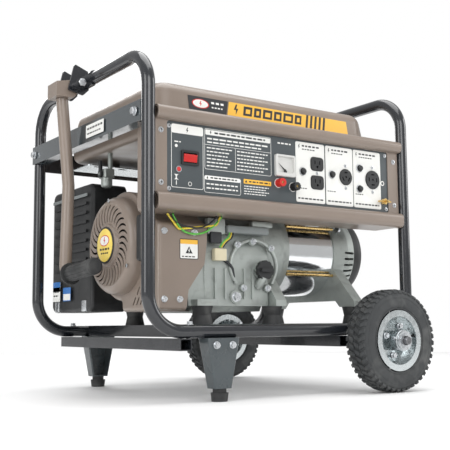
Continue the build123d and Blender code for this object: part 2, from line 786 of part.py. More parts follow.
grip_y = -184.0         # recoil grip beside the cover
with BuildPart() as recoil_grip:
    with BuildSketch(Plane(origin=(-300, grip_y, 262), z_dir=(0, 0, 1))):
        SlotOverall(24, 20, rotation=90)
    extrude(amount=88)
    fillet(recoil_grip.faces().sort_by(Axis.Z)[0].edges(), 6)
    fillet(recoil_grip.faces().sort_by(Axis.Z)[-1].edges(), 6)
    with BuildSketch(on_x(-292)):
        with Locations((grip_y - shaft_y, 6)):
            Circle(6)
    extrude(amount=7)
save(recoil_grip, "recoil_grip")

with BuildPart() as flywheel:          # cast flywheel with fan blades
    with BuildSketch(on_x(-248)):
        Circle(94)
        Circle(12, mode=Mode.SUBTRACT)
    extrude(amount=18)
    with BuildSketch(on_x(-274)):
        with PolarLocations(0, 16):
            with Locations(Location((74, 0, 0), 30)):
                Rectangle(34, 3)
        Circle(34)
        Circle(12, mode=Mode.SUBTRACT)
    extrude(amount=26)
save(flywheel, "flywheel")

with BuildPart() as crankshaft:
    with BuildSketch(on_x(-276)):
        Circle(11.95)
    extrude(amount=52)
    with BuildSketch(on_x(-225)):
        Circle(17)
    extrude(amount=77)
    with BuildSketch(on_x(-90)):
        Circle(17)
    extrude(amount=84)
    with BuildSketch(on_x(-6)):
        Circle(14)
    extrude(amount=269)
    for x in (-150, -106):
        with BuildSketch(on_x(x)):
            with Locations((0, -6)):
                RectangleRounded(64, 84, 20)
        extrude(amount=16)
    with BuildSketch(on_x(-134)):
        with Locations((0, 26)):
            Circle(15)
    extrude(amount=28)
save(crankshaft, "crankshaft")

cleaner_y = (46.0, 254.0)
cleaner_z = (171.0, 446.0)
with BuildPart() as air_cleaner:       # filter box with a ribbed lid
    with BuildSketch(Plane(origin=(-212, middle(cleaner_y), middle(cleaner_z)),
                           x_dir=(0, -1, 0), z_dir=(-1, 0, 0))):
        RectangleRounded(span(cleaner_y), span(cleaner_z), 18)
    extrude(amount=82)
    fillet(air_cleaner.faces().sort_by(Axis.X)[0].edges(), 8)
    with BuildSketch(Plane(origin=(-213, middle(cleaner_y), middle(cleaner_z)),
                           x_dir=(0, -1, 0), z_dir=(-1, 0, 0))):
        RectangleRounded(span(cleaner_y) - 5, span(cleaner_z) - 5, 16)
    extrude(amount=78, mode=Mode.SUBTRACT)
    for step in range(8):
        with BuildSketch(Plane(origin=(-292, middle(cleaner_y), 264 + 20 * step),
                               x_dir=(0, -1, 0), z_dir=(-1, 0, 0))):
            Rectangle(span(cleaner_y) - 40, 6)
        extrude(amount=7)
save(air_cleaner, "air_cleaner")

with BuildPart() as carburettor:
    with BuildSketch(Plane(origin=(-211, 120, 385), x_dir=(0, 1, 0), z_dir=(1, 0, 0))):
        Rectangle(44, 44)
        Circle(13, mode=Mode.SUBTRACT)
    extrude(amount=36)
    with BuildSketch(Plane.XY.offset(334)):
        with Locations((-193, 120)):
            Circle(17)
    extrude(amount=30)
    fillet(carburettor.faces().sort_by(Axis.Z)[0].edges(), 5)
    with BuildSketch(on_y(98, -193, 392)):
        Circle(3)
    extrude(amount=8)
save(carburettor, "carburettor")

with BuildPart() as choke_lever:
    with BuildSketch(on_y(97, -193, 392)):
        Circle(8)
        with Locations((0, 13)):
            SlotOverall(34, 9, rotation=90)
        Circle(3.05, mode=Mode.SUBTRACT)
    extrude(amount=3)
save(choke_lever, "choke_lever")

muffler_x = (-38.0, 226.0)
with BuildPart() as muffler:           # pressed can, inlet pipe and outlet pipe
    with BuildSketch(Plane(origin=(muffler_x[0], 152, 392), x_dir=(0, 1, 0),
                           z_dir=(1, 0, 0))):
        RectangleRounded(96, 112, 34)
    extrude(amount=span(muffler_x))
    fillet(muffler.faces().sort_by(Axis.X)[0].edges(), 8)
    fillet(muffler.faces().sort_by(Axis.X)[-1].edges(), 8)
    with BuildSketch(Plane(origin=(muffler_x[0] + 3, 152, 392), x_dir=(0, 1, 0),
                           z_dir=(1, 0, 0))):
        RectangleRounded(90, 106, 31)
    extrude(amount=span(muffler_x) - 6, mode=Mode.SUBTRACT)
    with BuildSketch(Plane(origin=(-65.6, 132, 392), x_dir=(0, 1, 0), z_dir=(1, 0, 0))):
        Circle(17)
    extrude(amount=30)
    with BuildSketch(Plane(origin=(-70, 132, 392), x_dir=(0, 1, 0), z_dir=(1, 0, 0))):
        Circle(14)
    extrude(amount=36, mode=Mode.SUBTRACT)
    with BuildSketch(Plane(origin=(muffler_x[1] - 4, 165, 420), x_dir=(0, 1, 0),
                           z_dir=(1, 0, 0))):
        Circle(14)
    extrude(amount=34)
    with BuildSketch(Plane(origin=(muffler_x[1] - 8, 165, 420), x_dir=(0, 1, 0),
                           z_dir=(1, 0, 0))):
        Circle(12)
    extrude(amount=44, mode=Mode.SUBTRACT)
save(muffler, "muffler")

with BuildPart() as rubber_mounts:     # waisted mounts between the engine and the frame
    for x in mount_x:
        for y in mount_y:
            low, waist = cross_top, middle((cross_top, mount_top))
            for z0, r0, z1, r1 in ((low, 21, waist, 17), (waist, 17, mount_top, 21)):
                with BuildSketch(Plane.XY.offset(z0)):
                    with Locations((x, y)):
                        Circle(r0)
                with BuildSketch(Plane.XY.offset(z1)):
                    with Locations((x, y)):
                        Circle(r1)
                loft()
save(rubber_mounts, "rubber_mounts")


# --------------------------------------------------------------- alternator
shaft_axis = Axis((0, shaft_y, shaft_z), (1, 0, 0))


def ring_section(*points):
    """Section to turn about the shaft: points are (X, radius from the shaft)."""
    with BuildSketch(Plane(origin=(0, shaft_y, shaft_z), x_dir=(1, 0, 0),
                           z_dir=(0, -1, 0))) as section:
        with BuildLine():
            Polyline(*points, close=True)
        make_face()
    return section.sketch


def foot_section(x, radius):
    """Arched foot across the two mounts, joined to a ring of the given radius."""
    reach = mount_y[1] - shaft_y + 22
    low = mount_top - shaft_z
    with BuildSketch(on_x(x)) as section:
        with BuildLine():
            Polyline((-reach, low), (-reach, low + 12), (-radius * 0.92, -radius * 0.38),
                     (radius * 0.92, -radius * 0.38), (reach, low + 12), (reach, low),
                     (reach - 46, low), (reach - 60, low + 14), (60 - reach, low + 14),
                     (46 - reach, low), close=True)
        make_face()
        Circle(radius - 8, mode=Mode.SUBTRACT)
    return section.sketch


adapter_x = (case_x[1] + 0.2, 67.0)
with BuildPart() as alternator_adapter:
    revolve(ring_section((adapter_x[0], 24), (adapter_x[0], 112), (42, 112), (48, 104),
                         (adapter_x[1], 100), (adapter_x[1], 90), (-8, 90), (-8, 24)),
            axis=shaft_axis)
    extrude(foot_section(adapter_x[0], 112), amount=26)
save(alternator_adapter, "alternator_adapter")

stator_x = (67.2, 196.0)
with BuildPart() as stator:            # laminated pack in a bright steel band
    revolve(ring_section((stator_x[0], 66), (stator_x[0], 96), (stator_x[1], 96),
                         (stator_x[1], 66)), axis=shaft_axis)
    with BuildSketch(on_x(stator_x[0])):
        with PolarLocations(67, 24):
            Rectangle(12, 6)
    extrude(amount=span(stator_x), mode=Mode.SUBTRACT)
save(stator, "stator")

with BuildPart() as rotor:
    with BuildSketch(on_x(stator_x[0] + 6)):
        Circle(59)
        with Locations((0, 52), (0, -52)):
            Rectangle(26, 22, mode=Mode.SUBTRACT)
        Circle(14.05, mode=Mode.SUBTRACT)
    extrude(amount=span(stator_x) - 12)
    with BuildSketch(on_x(stator_x[1] + 2)):
        Circle(30)
        Circle(14.05, mode=Mode.SUBTRACT)
    extrude(amount=16)
save(rotor, "rotor")

bell_x = (196.2, 262.0)
with BuildPart() as end_bell:          # cast bearing housing with outlet slots
    revolve(ring_section((bell_x[0], 91), (bell_x[0], 99), (238, 99), (bell_x[1], 92),
                         (bell_x[1], 14 + running), (256, 14 + running), (256, 84),
                         (234, 91)), axis=shaft_axis)
    extrude(foot_section(bell_x[0], 99), amount=26)
    with BuildSketch(on_x(228)):                          # narrow slots low on both sides
        for step in range(6):
            for turn in (180 + 8 * step, -8 * step):
                with Locations(Location((93 * cos(radians(turn)), 93 * sin(radians(turn)), 0),
                                        turn)):
                    Rectangle(24, 5)
    extrude(amount=32, mode=Mode.SUBTRACT)
save(end_bell, "end_bell")

with BuildPart() as end_cover:         # moulded cap over the brushes and bearing
    with BuildSketch(on_x(bell_x[1] + 0.2)):
        Circle(91)
    extrude(amount=36)
    fillet(end_cover.faces().sort_by(Axis.X)[-1].edges(), 22)
    with BuildSketch(on_x(bell_x[1])):
        Circle(78)
    extrude(amount=32, mode=Mode.SUBTRACT)
save(end_cover, "end_cover")


# ------------------------------------------------------------------- handle
plate_gap = 56.0        # between the hinge plates


def plate_face(y):
    """Sketch plane across the hinge pin: local x is +X, local y is +Z."""
    return on_y(y, hinge_x, hinge_z)


with BuildPart() as handle_bracket:    # clamp on the top tube, hinge plates and pin
    for y in (hinge_y - plate_gap / 2, hinge_y + plate_gap / 2):
        with BuildSketch(plate_face(y + 2)):
            with BuildLine():
                Polyline((-4, 46), (31, 32), (36, 2), (16, -18), (-18, -10), close=True)
            make_face()
        extrude(amount=4)
    fillet(handle_bracket.edges().filter_by(Axis.Y), 4)
    with BuildSketch(on_y(hinge_y + 60, -post_x, top_z)):     # saddle on the tube
        Circle(16)
    extrude(amount=120)
    with BuildSketch(on_y(hinge_y + 60, -post_x, top_z)):
        Circle(tube_r + 0.05)
    extrude(amount=120, mode=Mode.SUBTRACT)
    with BuildSketch(on_y(hinge_y + 62, -post_x + 12, top_z - 8)):
        Rectangle(24, 40)
    extrude(amount=124, mode=Mode.SUBTRACT)
    with BuildSketch(on_y(hinge_y + plate_gap / 2 + 7, hinge_x, hinge_z)):
        Circle(4)
    extrude(amount=plate_gap + 14)
    with BuildSketch(on_y(hinge_y - plate_gap / 2 - 2, hinge_x, hinge_z)):
        Circle(8)
    extrude(amount=5)
    with BuildSketch(on_y(hinge_y + plate_gap / 2 + 7, hinge_x, hinge_z)):
        RegularPolygon(8, 6)
    extrude(amount=5)
save(handle_bracket, "handle_bracket")

arm_bottom = (hinge_x - 6, hinge_y, 244.0)
with BuildPart() as handle_arm:        # channel that turns on the pin, bowed tube below
    with BuildLine() as arm_route:
        FilletPolyline((hinge_x - 18, hinge_y, hinge_z - 24), (hinge_x - 1, hinge_y, 430),
                       arm_bottom, (arm_bottom[0], hinge_y - 132, 255), radius=22)
    with BuildSketch(Plane(origin=arm_route.line @ 0, z_dir=arm_route.line % 0)):
        Circle(12.5)
        Circle(10.7, mode=Mode.SUBTRACT)
    sweep(path=arm_route.line)
    width = plate_gap - 9
    with BuildSketch(on_y(hinge_y + width / 2, hinge_x, hinge_z)):
        with BuildLine():
            Polyline((12, -8), (-2, -24), (-40, -24), (-40, 6), (-12, 12), (6, 12), (12, 6),
                     close=True)
        make_face()
    extrude(amount=width)
    with BuildSketch(on_y(hinge_y + width / 2 - 3, hinge_x, hinge_z)):
        with Locations((-11, 6)):
            Rectangle(52, 54)
    extrude(amount=width - 6, mode=Mode.SUBTRACT)
    with BuildSketch(on_y(hinge_y + width / 2, hinge_x, hinge_z)):
        with Locations((-22, -22.5)):
            Rectangle(36, 3)
    extrude(amount=width)
    with BuildSketch(on_y(hinge_y + 40, hinge_x, hinge_z)):
        Circle(4 + running)
    extrude(amount=80, mode=Mode.SUBTRACT)
save(handle_arm, "handle_arm")

grip_dir = Vector(0, -132, 11).normalized()
with BuildPart() as handle_grip:       # rubber sleeve with a collar and ribs
    grip_start = Vector(*arm_bottom) + grip_dir * 24
    grip_plane = Plane(origin=grip_start, x_dir=(1, 0, 0), z_dir=grip_dir)
    with BuildSketch(grip_plane):
        Circle(22)
    extrude(amount=5)
    with BuildSketch(grip_plane):
        Circle(16.5)
    extrude(amount=116)
    fillet(handle_grip.faces().sort_by(Axis.Y)[0].edges(), 4)
    with BuildSketch(grip_plane.offset(8)):
        with PolarLocations(17, 14):
            Circle(1.3)
    extrude(amount=98, mode=Mode.SUBTRACT)
    with BuildSketch(grip_plane.offset(-1)):
        Circle(12.55)
    extrude(amount=112, mode=Mode.SUBTRACT)
save(handle_grip, "handle_grip")

with BuildPart() as engine_leads:      # earth lead looped under the panel
    with BuildLine() as lead_route:
        FilletPolyline((-268, -221.5, 350.6), (-243, -221.5, 322), (-156, -221.5, 334),
                       (-148, -221.5, 350.6), radius=8)
    with BuildSketch(Plane(origin=lead_route.line @ 0, z_dir=lead_route.line % 0)):
        Circle(2)
    sweep(path=lead_route.line)
save(engine_leads, "engine_leads")
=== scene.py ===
import json
import math
import random

import bmesh
import bpy
from mathutils import Matrix, Vector


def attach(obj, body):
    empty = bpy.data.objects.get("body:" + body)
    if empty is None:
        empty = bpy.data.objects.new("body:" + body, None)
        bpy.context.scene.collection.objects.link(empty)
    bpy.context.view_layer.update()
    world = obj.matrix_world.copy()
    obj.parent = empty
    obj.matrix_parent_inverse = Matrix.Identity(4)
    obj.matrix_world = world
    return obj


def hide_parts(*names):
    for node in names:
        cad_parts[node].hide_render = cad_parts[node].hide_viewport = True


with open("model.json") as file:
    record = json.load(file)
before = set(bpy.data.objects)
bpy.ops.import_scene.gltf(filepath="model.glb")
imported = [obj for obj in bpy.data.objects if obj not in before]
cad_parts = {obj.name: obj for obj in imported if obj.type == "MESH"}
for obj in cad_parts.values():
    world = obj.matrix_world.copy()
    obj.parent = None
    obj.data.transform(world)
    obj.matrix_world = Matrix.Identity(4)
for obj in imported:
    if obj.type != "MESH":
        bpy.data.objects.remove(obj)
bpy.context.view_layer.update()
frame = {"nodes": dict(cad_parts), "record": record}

MM = 0.001
FRAME_X = 0.0264        # middle of the tube frame in the row's frame
ROOT = "generator"
SHAFT_Y, SHAFT_Z = -70, 300                  # line of the crankshaft
WHEEL_X, WHEEL_Y, WHEEL_R = 220, 310, 106    # wheel centre and tyre radius
FACE_Y = -255                                # dark face of the control panel
SHROUD_Y = -217                              # front of the fan shroud
RECOIL_X = -284                              # back of the starter cover
LID_X = -298.8                               # outside of the air cleaner
PLATE_X = -345.7                             # outside of the left cross plate
scene = bpy.context.scene


# ---------------------------------------------------------------- materials
class Shade:
    """A small helper round one Principled material."""

    def __init__(self, name, metallic=0.0, coat=0.0):
        self.mat = bpy.data.materials.new(name)
        self.mat.use_nodes = True
        self.tree = self.mat.node_tree
        self.bsdf = self.tree.nodes["Principled BSDF"]
        self.bsdf.inputs["Metallic"].default_value = metallic
        self.bsdf.inputs["IOR"].default_value = 1.5
        if coat:
            self.bsdf.inputs["Coat Weight"].default_value = coat
            self.bsdf.inputs["Coat Roughness"].default_value = 0.08
        self.coord = self.new("ShaderNodeTexCoord").outputs["Object"]

    def new(self, kind, **values):
        node = self.tree.nodes.new(kind)
        for key, value in values.items():
            setattr(node, key, value)
        return node

    def link(self, source, target):
        self.tree.links.new(source, target)

    def noise(self, scale, detail=4.0, stretch=(1, 1, 1), distortion=0.0):
        mapping = self.new("ShaderNodeMapping")
        mapping.inputs["Scale"].default_value = stretch
        self.link(self.coord, mapping.inputs["Vector"])
        node = self.new("ShaderNodeTexNoise")
        node.inputs["Scale"].default_value = scale
        node.inputs["Detail"].default_value = detail
        node.inputs["Distortion"].default_value = distortion
        self.link(mapping.outputs["Vector"], node.inputs["Vector"])
        return node.outputs["Fac"]

    def remap(self, value, low, high, start=0.3, end=0.7):
        node = self.new("ShaderNodeMapRange")
        node.inputs["From Min"].default_value = start
        node.inputs["From Max"].default_value = end
        node.inputs["To Min"].default_value = low
        node.inputs["To Max"].default_value = high
        self.link(value, node.inputs["Value"])
        return node.outputs["Result"]

    def mix(self, factor, first, second):
        node = self.new("ShaderNodeMix", data_type="RGBA")
        self.link(factor, node.inputs["Factor"])
        for socket, value in ((node.inputs[6], first), (node.inputs[7], second)):
            if isinstance(value, tuple):
                socket.default_value = (*value, 1.0)
            else:
                self.link(value, socket)
        return node.outputs[2]

    def bump(self, height, strength, distance=0.001, below=None):
        node = self.new("ShaderNodeBump")
        node.inputs["Strength"].default_value = strength
        node.inputs["Distance"].default_value = distance
        self.link(height, node.inputs["Height"])
        if below is not None:
            self.link(below, node.inputs["Normal"])
        return node.outputs["Normal"]

    def edges(self, radius=0.0014):
        """Factor that is 1 on edges, used for worn paint and a painted edge highlight: where a
        rounded normal leaves the true one.
        """
        bevel = self.new("ShaderNodeBevel", samples=3)
        bevel.inputs["Radius"].default_value = radius
        geometry = self.new("ShaderNodeNewGeometry")
        dot = self.new("ShaderNodeVectorMath", operation="DOT_PRODUCT")
        self.link(bevel.outputs["Normal"], dot.inputs[0])
        self.link(geometry.outputs["Normal"], dot.inputs[1])
        ramp = self.remap(dot.outputs["Value"], 1.0, 0.0, 0.86, 0.985)
        patches = self.remap(self.noise(60, 3), 0.0, 1.0, 0.45, 0.60)
        node = self.new("ShaderNodeMath", operation="MULTIPLY", use_clamp=True)
        self.link(ramp, node.inputs[0])
        self.link(patches, node.inputs[1])
        return node.outputs[0]

    def colour(self, socket):
        self.link(socket, self.bsdf.inputs["Base Color"])

    def roughness(self, socket):
        self.link(socket, self.bsdf.inputs["Roughness"])

    def normal(self, socket):
        self.link(socket, self.bsdf.inputs["Normal"])


def tint(colour, factor):
    return tuple(min(1.0, c * factor) for c in colour)


def paint(name, colour, rough, coat=0.0, mottle=0.06, grain=900, grain_depth=0.05,
          edge_wear_and_highlight=None, dust=None):
    """Painted or moulded surface: mottled colour, orange peel, lighter edges (worn paint and a
    painted edge highlight), dust.
    """
    s = Shade(name, coat=coat)
    base = s.mix(s.remap(s.noise(14, 5), 0.0, 1.0), tint(colour, 1 - mottle),
                 tint(colour, 1 + mottle))
    if dust:
        low = s.remap(s.noise(35, 6, distortion=0.4), 0.0, 0.35, 0.55, 0.8)
        base = s.mix(low, base, dust)
    # lighter colour on edges: worn paint and a painted highlight along the edges
    if edge_wear_and_highlight:
        base = s.mix(s.edges(), base, edge_wear_and_highlight)
    s.colour(base)
    s.roughness(s.remap(s.noise(22, 6), max(0.04, rough - 0.06), rough + 0.07))
    fine = s.bump(s.noise(grain, 3), grain_depth, 0.0004)
    s.normal(s.bump(s.noise(45, 3), 0.04, 0.0012, below=fine))
    return s.mat


def metal(name, colour, rough, streak=(1, 1, 1), scale=220, depth=0.08, spots=0.10,
          stain=None):
    """Bare or plated metal: directional streaks, smudges and stains."""
    s = Shade(name, metallic=1.0)
    base = s.mix(s.remap(s.noise(9, 6), 0.0, 1.0), tint(colour, 1 - spots),
                 tint(colour, 1 + spots))
    if stain:
        base = s.mix(s.remap(s.noise(28, 8, distortion=0.8), 0.0, 0.55, 0.52, 0.75), base, stain)
    s.colour(base)
    s.roughness(s.remap(s.noise(scale, 3, streak), max(0.03, rough - 0.08), rough + 0.10))
    s.normal(s.bump(s.noise(scale, 4, streak), depth, 0.0005))
    return s.mat


def cast(name, colour, rough, depth=0.5, scale=420, metallic=0.7, stain=(0.10, 0.10, 0.09)):
    """Sand-cast metal: pitted skin, oily hollows, lighter edges (worn metal and a painted
    highlight).
    """
    s = Shade(name, metallic)
    base = s.mix(s.remap(s.noise(18, 6), 0.0, 1.0), tint(colour, 0.88), tint(colour, 1.1))
    base = s.mix(s.remap(s.noise(40, 8, distortion=0.6), 0.0, 0.45, 0.55, 0.8), base, stain)
    # lighter edges: worn bright metal and a painted highlight
    base = s.mix(s.edges(), base, tint(colour, 1.35))
    s.colour(base)
    s.roughness(s.remap(s.noise(30, 5), rough - 0.08, rough + 0.1))
    coarse = s.bump(s.noise(scale, 5), depth, 0.0006)
    s.normal(s.bump(s.noise(90, 4), 0.25, 0.0009, below=coarse))
    return s.mat


def rubber(name, colour, rough=0.62, grain=700, depth=0.2):
    s = Shade(name)
    dusty = s.remap(s.noise(26, 7, distortion=0.5), 0.0, 0.30, 0.48, 0.78)
    s.colour(s.mix(dusty, s.mix(s.noise(60, 4), tint(colour, 0.85), tint(colour, 1.15)),
                   (0.23, 0.23, 0.22)))
    s.roughness(s.remap(s.noise(34, 5), rough - 0.08, rough + 0.14))
    s.normal(s.bump(s.noise(grain, 4), depth, 0.0005))
    return s.mat


def laminated(name, colour, pitch_axis):
    """Stacked steel sheets: fine rings across one axis."""
    s = Shade(name, metallic=0.9)
    split = s.new("ShaderNodeSeparateXYZ")
    s.link(s.coord, split.inputs[0])
    wave = s.new("ShaderNodeMath", operation="SINE")
    scaled = s.new("ShaderNodeMath", operation="MULTIPLY")
    s.link(split.outputs[pitch_axis], scaled.inputs[0])
    scaled.inputs[1].default_value = 2 * math.pi / 0.0016
    s.link(scaled.outputs[0], wave.inputs[0])
    s.colour(s.mix(s.remap(s.noise(30, 5), 0.0, 1.0), tint(colour, 0.75), tint(colour, 1.2)))
    s.roughness(s.remap(s.noise(80, 4), 0.32, 0.55))
    s.normal(s.bump(wave.outputs[0], 0.25, 0.0003))
    return s.mat


TAUPE = (0.235, 0.188, 0.155)
BLACK = (0.014, 0.016, 0.020)
PANEL = (0.062, 0.074, 0.080)

# the edge colours given below paint worn edges and a painted edge highlight together
M = {
    "frame_black": paint("frame_enamel", BLACK, 0.20, coat=0.6, grain_depth=0.03,
                         edge_wear_and_highlight=(0.06, 0.062, 0.066), dust=(0.035, 0.036, 0.038)),
    "plate_grey": paint("plate_enamel", (0.045, 0.056, 0.062), 0.16, coat=0.8,
                        edge_wear_and_highlight=(0.2, 0.2, 0.2)),
    "leg_grey": paint("leg_enamel", (0.050, 0.064, 0.070), 0.26, coat=0.4,
                      edge_wear_and_highlight=(0.12, 0.13, 0.13), dust=(0.09, 0.09, 0.09)),
    "taupe": paint("taupe_enamel", TAUPE, 0.36, coat=0.25, mottle=0.045,
                   edge_wear_and_highlight=(0.40, 0.36, 0.33)),
    "panel_grey": paint("panel_print", PANEL, 0.42, mottle=0.05, grain=1500,
                        grain_depth=0.12),
    "black_plastic": paint("black_moulding", (0.016, 0.017, 0.018), 0.42, grain=1300,
                           grain_depth=0.25, dust=(0.07, 0.07, 0.07)),
    "black_rubber": rubber("black_rubber", (0.022, 0.023, 0.024)),
    "tyre_rubber": rubber("tyre_rubber", (0.042, 0.045, 0.047), rough=0.7),
    "zinc": metal("zinc_plate", (0.62, 0.66, 0.67), 0.24, scale=160, depth=0.03,
                  spots=0.04, stain=(0.56, 0.59, 0.60)),
    "dark_steel": metal("dark_steel", (0.20, 0.20, 0.21), 0.32, stain=(0.10, 0.09, 0.08)),
    "cast_alu": cast("cast_aluminium", (0.40, 0.43, 0.41), 0.48),
    "chrome_band": metal("polished_band", (0.82, 0.84, 0.85), 0.09, (1, 18, 18), 40, 0.03,
                         spots=0.04),
    "cast_iron": cast("cast_iron", (0.16, 0.16, 0.16), 0.6, metallic=0.6),
    "switch_red": paint("switch_red", (0.52, 0.012, 0.010), 0.22, coat=0.5, grain_depth=0.02),
    "post_red": paint("post_red", (0.55, 0.02, 0.015), 0.28, coat=0.3),
    "meter_white": paint("meter_case", (0.62, 0.62, 0.60), 0.35, coat=0.3),
    "brass": metal("brass", (0.70, 0.49, 0.20), 0.26, stain=(0.40, 0.26, 0.10)),
    "hot_steel": metal("heat_steel", (0.24, 0.22, 0.20), 0.42, stain=(0.22, 0.12, 0.06),
                       spots=0.2),
    "lead_yellow": paint("lead_yellow", (0.70, 0.55, 0.04), 0.35, coat=0.2),
    "copper_steel": laminated("rotor_pack", (0.35, 0.30, 0.26), 0),
}
M["lead_green"] = paint("lead_green", (0.10, 0.45, 0.06), 0.35, coat=0.2)
M["white_print"] = paint("white_print", (0.80, 0.80, 0.77), 0.45, mottle=0.03)
M["dark_print"] = paint("dark_print", (0.02, 0.022, 0.025), 0.5, mottle=0.03)
M["yellow_print"] = paint("yellow_print", (0.86, 0.48, 0.055), 0.36, coat=0.4, mottle=0.03)
M["pale_yellow"] = paint("badge_yellow", (0.90, 0.68, 0.13), 0.34, coat=0.5, mottle=0.03)
M["red_print"] = paint("red_print", (0.62, 0.03, 0.03), 0.4, mottle=0.03)
M["blue_print"] = paint("blue_print", (0.03, 0.16, 0.46), 0.4, coat=0.2)
M["grey_plastic"] = paint("grey_moulding", (0.20, 0.22, 0.22), 0.45, grain=1200,
                          grain_depth=0.2)
M["cream_plastic"] = paint("cream_connector", (0.66, 0.60, 0.42), 0.4, coat=0.15)
M["bolt_zinc"] = metal("bolt_zinc", (0.62, 0.64, 0.66), 0.3, scale=300)

for entry in frame["record"]["subparts"]:
    node = frame["nodes"][entry["node"]]
    node.data.materials.clear()
    node.data.materials.append(M[entry["material_slot"]])


# ------------------------------------------------------------ mesh helpers
def place(origin, normal=(0, 0, 1)):
    """Local frame in millimetres: x right, y up, z along the normal."""
    z = Vector(normal).normalized()
    up = (0, 0, 1) if abs(z.z) < 0.9 else (0, 1, 0)
    y = Vector(up)
    y = (y - y.dot(z) * z).normalized()
    x = y.cross(z)
    return Matrix(((x.x, y.x, z.x, origin[0]), (x.y, y.y, z.y, origin[1]),
                   (x.z, y.z, z.z, origin[2]), (0, 0, 0, 1)))


def ring_points(radius, n=32, cx=0.0, cy=0.0, squash=1.0):
    return [(cx + radius * math.cos(2 * math.pi * k / n),
             cy + squash * radius * math.sin(2 * math.pi * k / n)) for k in range(n)]


def rounded(x0, x1, y0, y1, r=2.0, n=5):
    """Outline of a rectangle with rounded corners."""
    r = min(r, (x1 - x0) / 2 - 0.01, (y1 - y0) / 2 - 0.01)
    points = []
    for cx, cy, start in ((x1 - r, y1 - r, 0), (x0 + r, y1 - r, 90), (x0 + r, y0 + r, 180),
                          (x1 - r, y0 + r, 270)):
        for k in range(n):
            a = math.radians(start + 90 * k / (n - 1))
            points.append((cx + r * math.cos(a), cy + r * math.sin(a)))
    return points


def moved(points, dx, dy, size=1.0):
    return [(dx + size * x, dy + size * y) for x, y in points]


BOLT_ICON = [(1, 10), (-5, -1), (-0.5, -1), (-2, -10), (5, 2), (0.5, 2), (4, 10)]
DROP_ICON = [(0, 9), (-2.5, 4), (-4.6, 0)] + [
    (5 * math.cos(math.radians(a)), -3 + 5 * math.sin(math.radians(a)))
    for a in range(170, 371, 20)] + [(4.6, 0), (2.5, 4)]
TRIANGLE_ICON = [(0, 6), (-6, -4.5), (6, -4.5)]


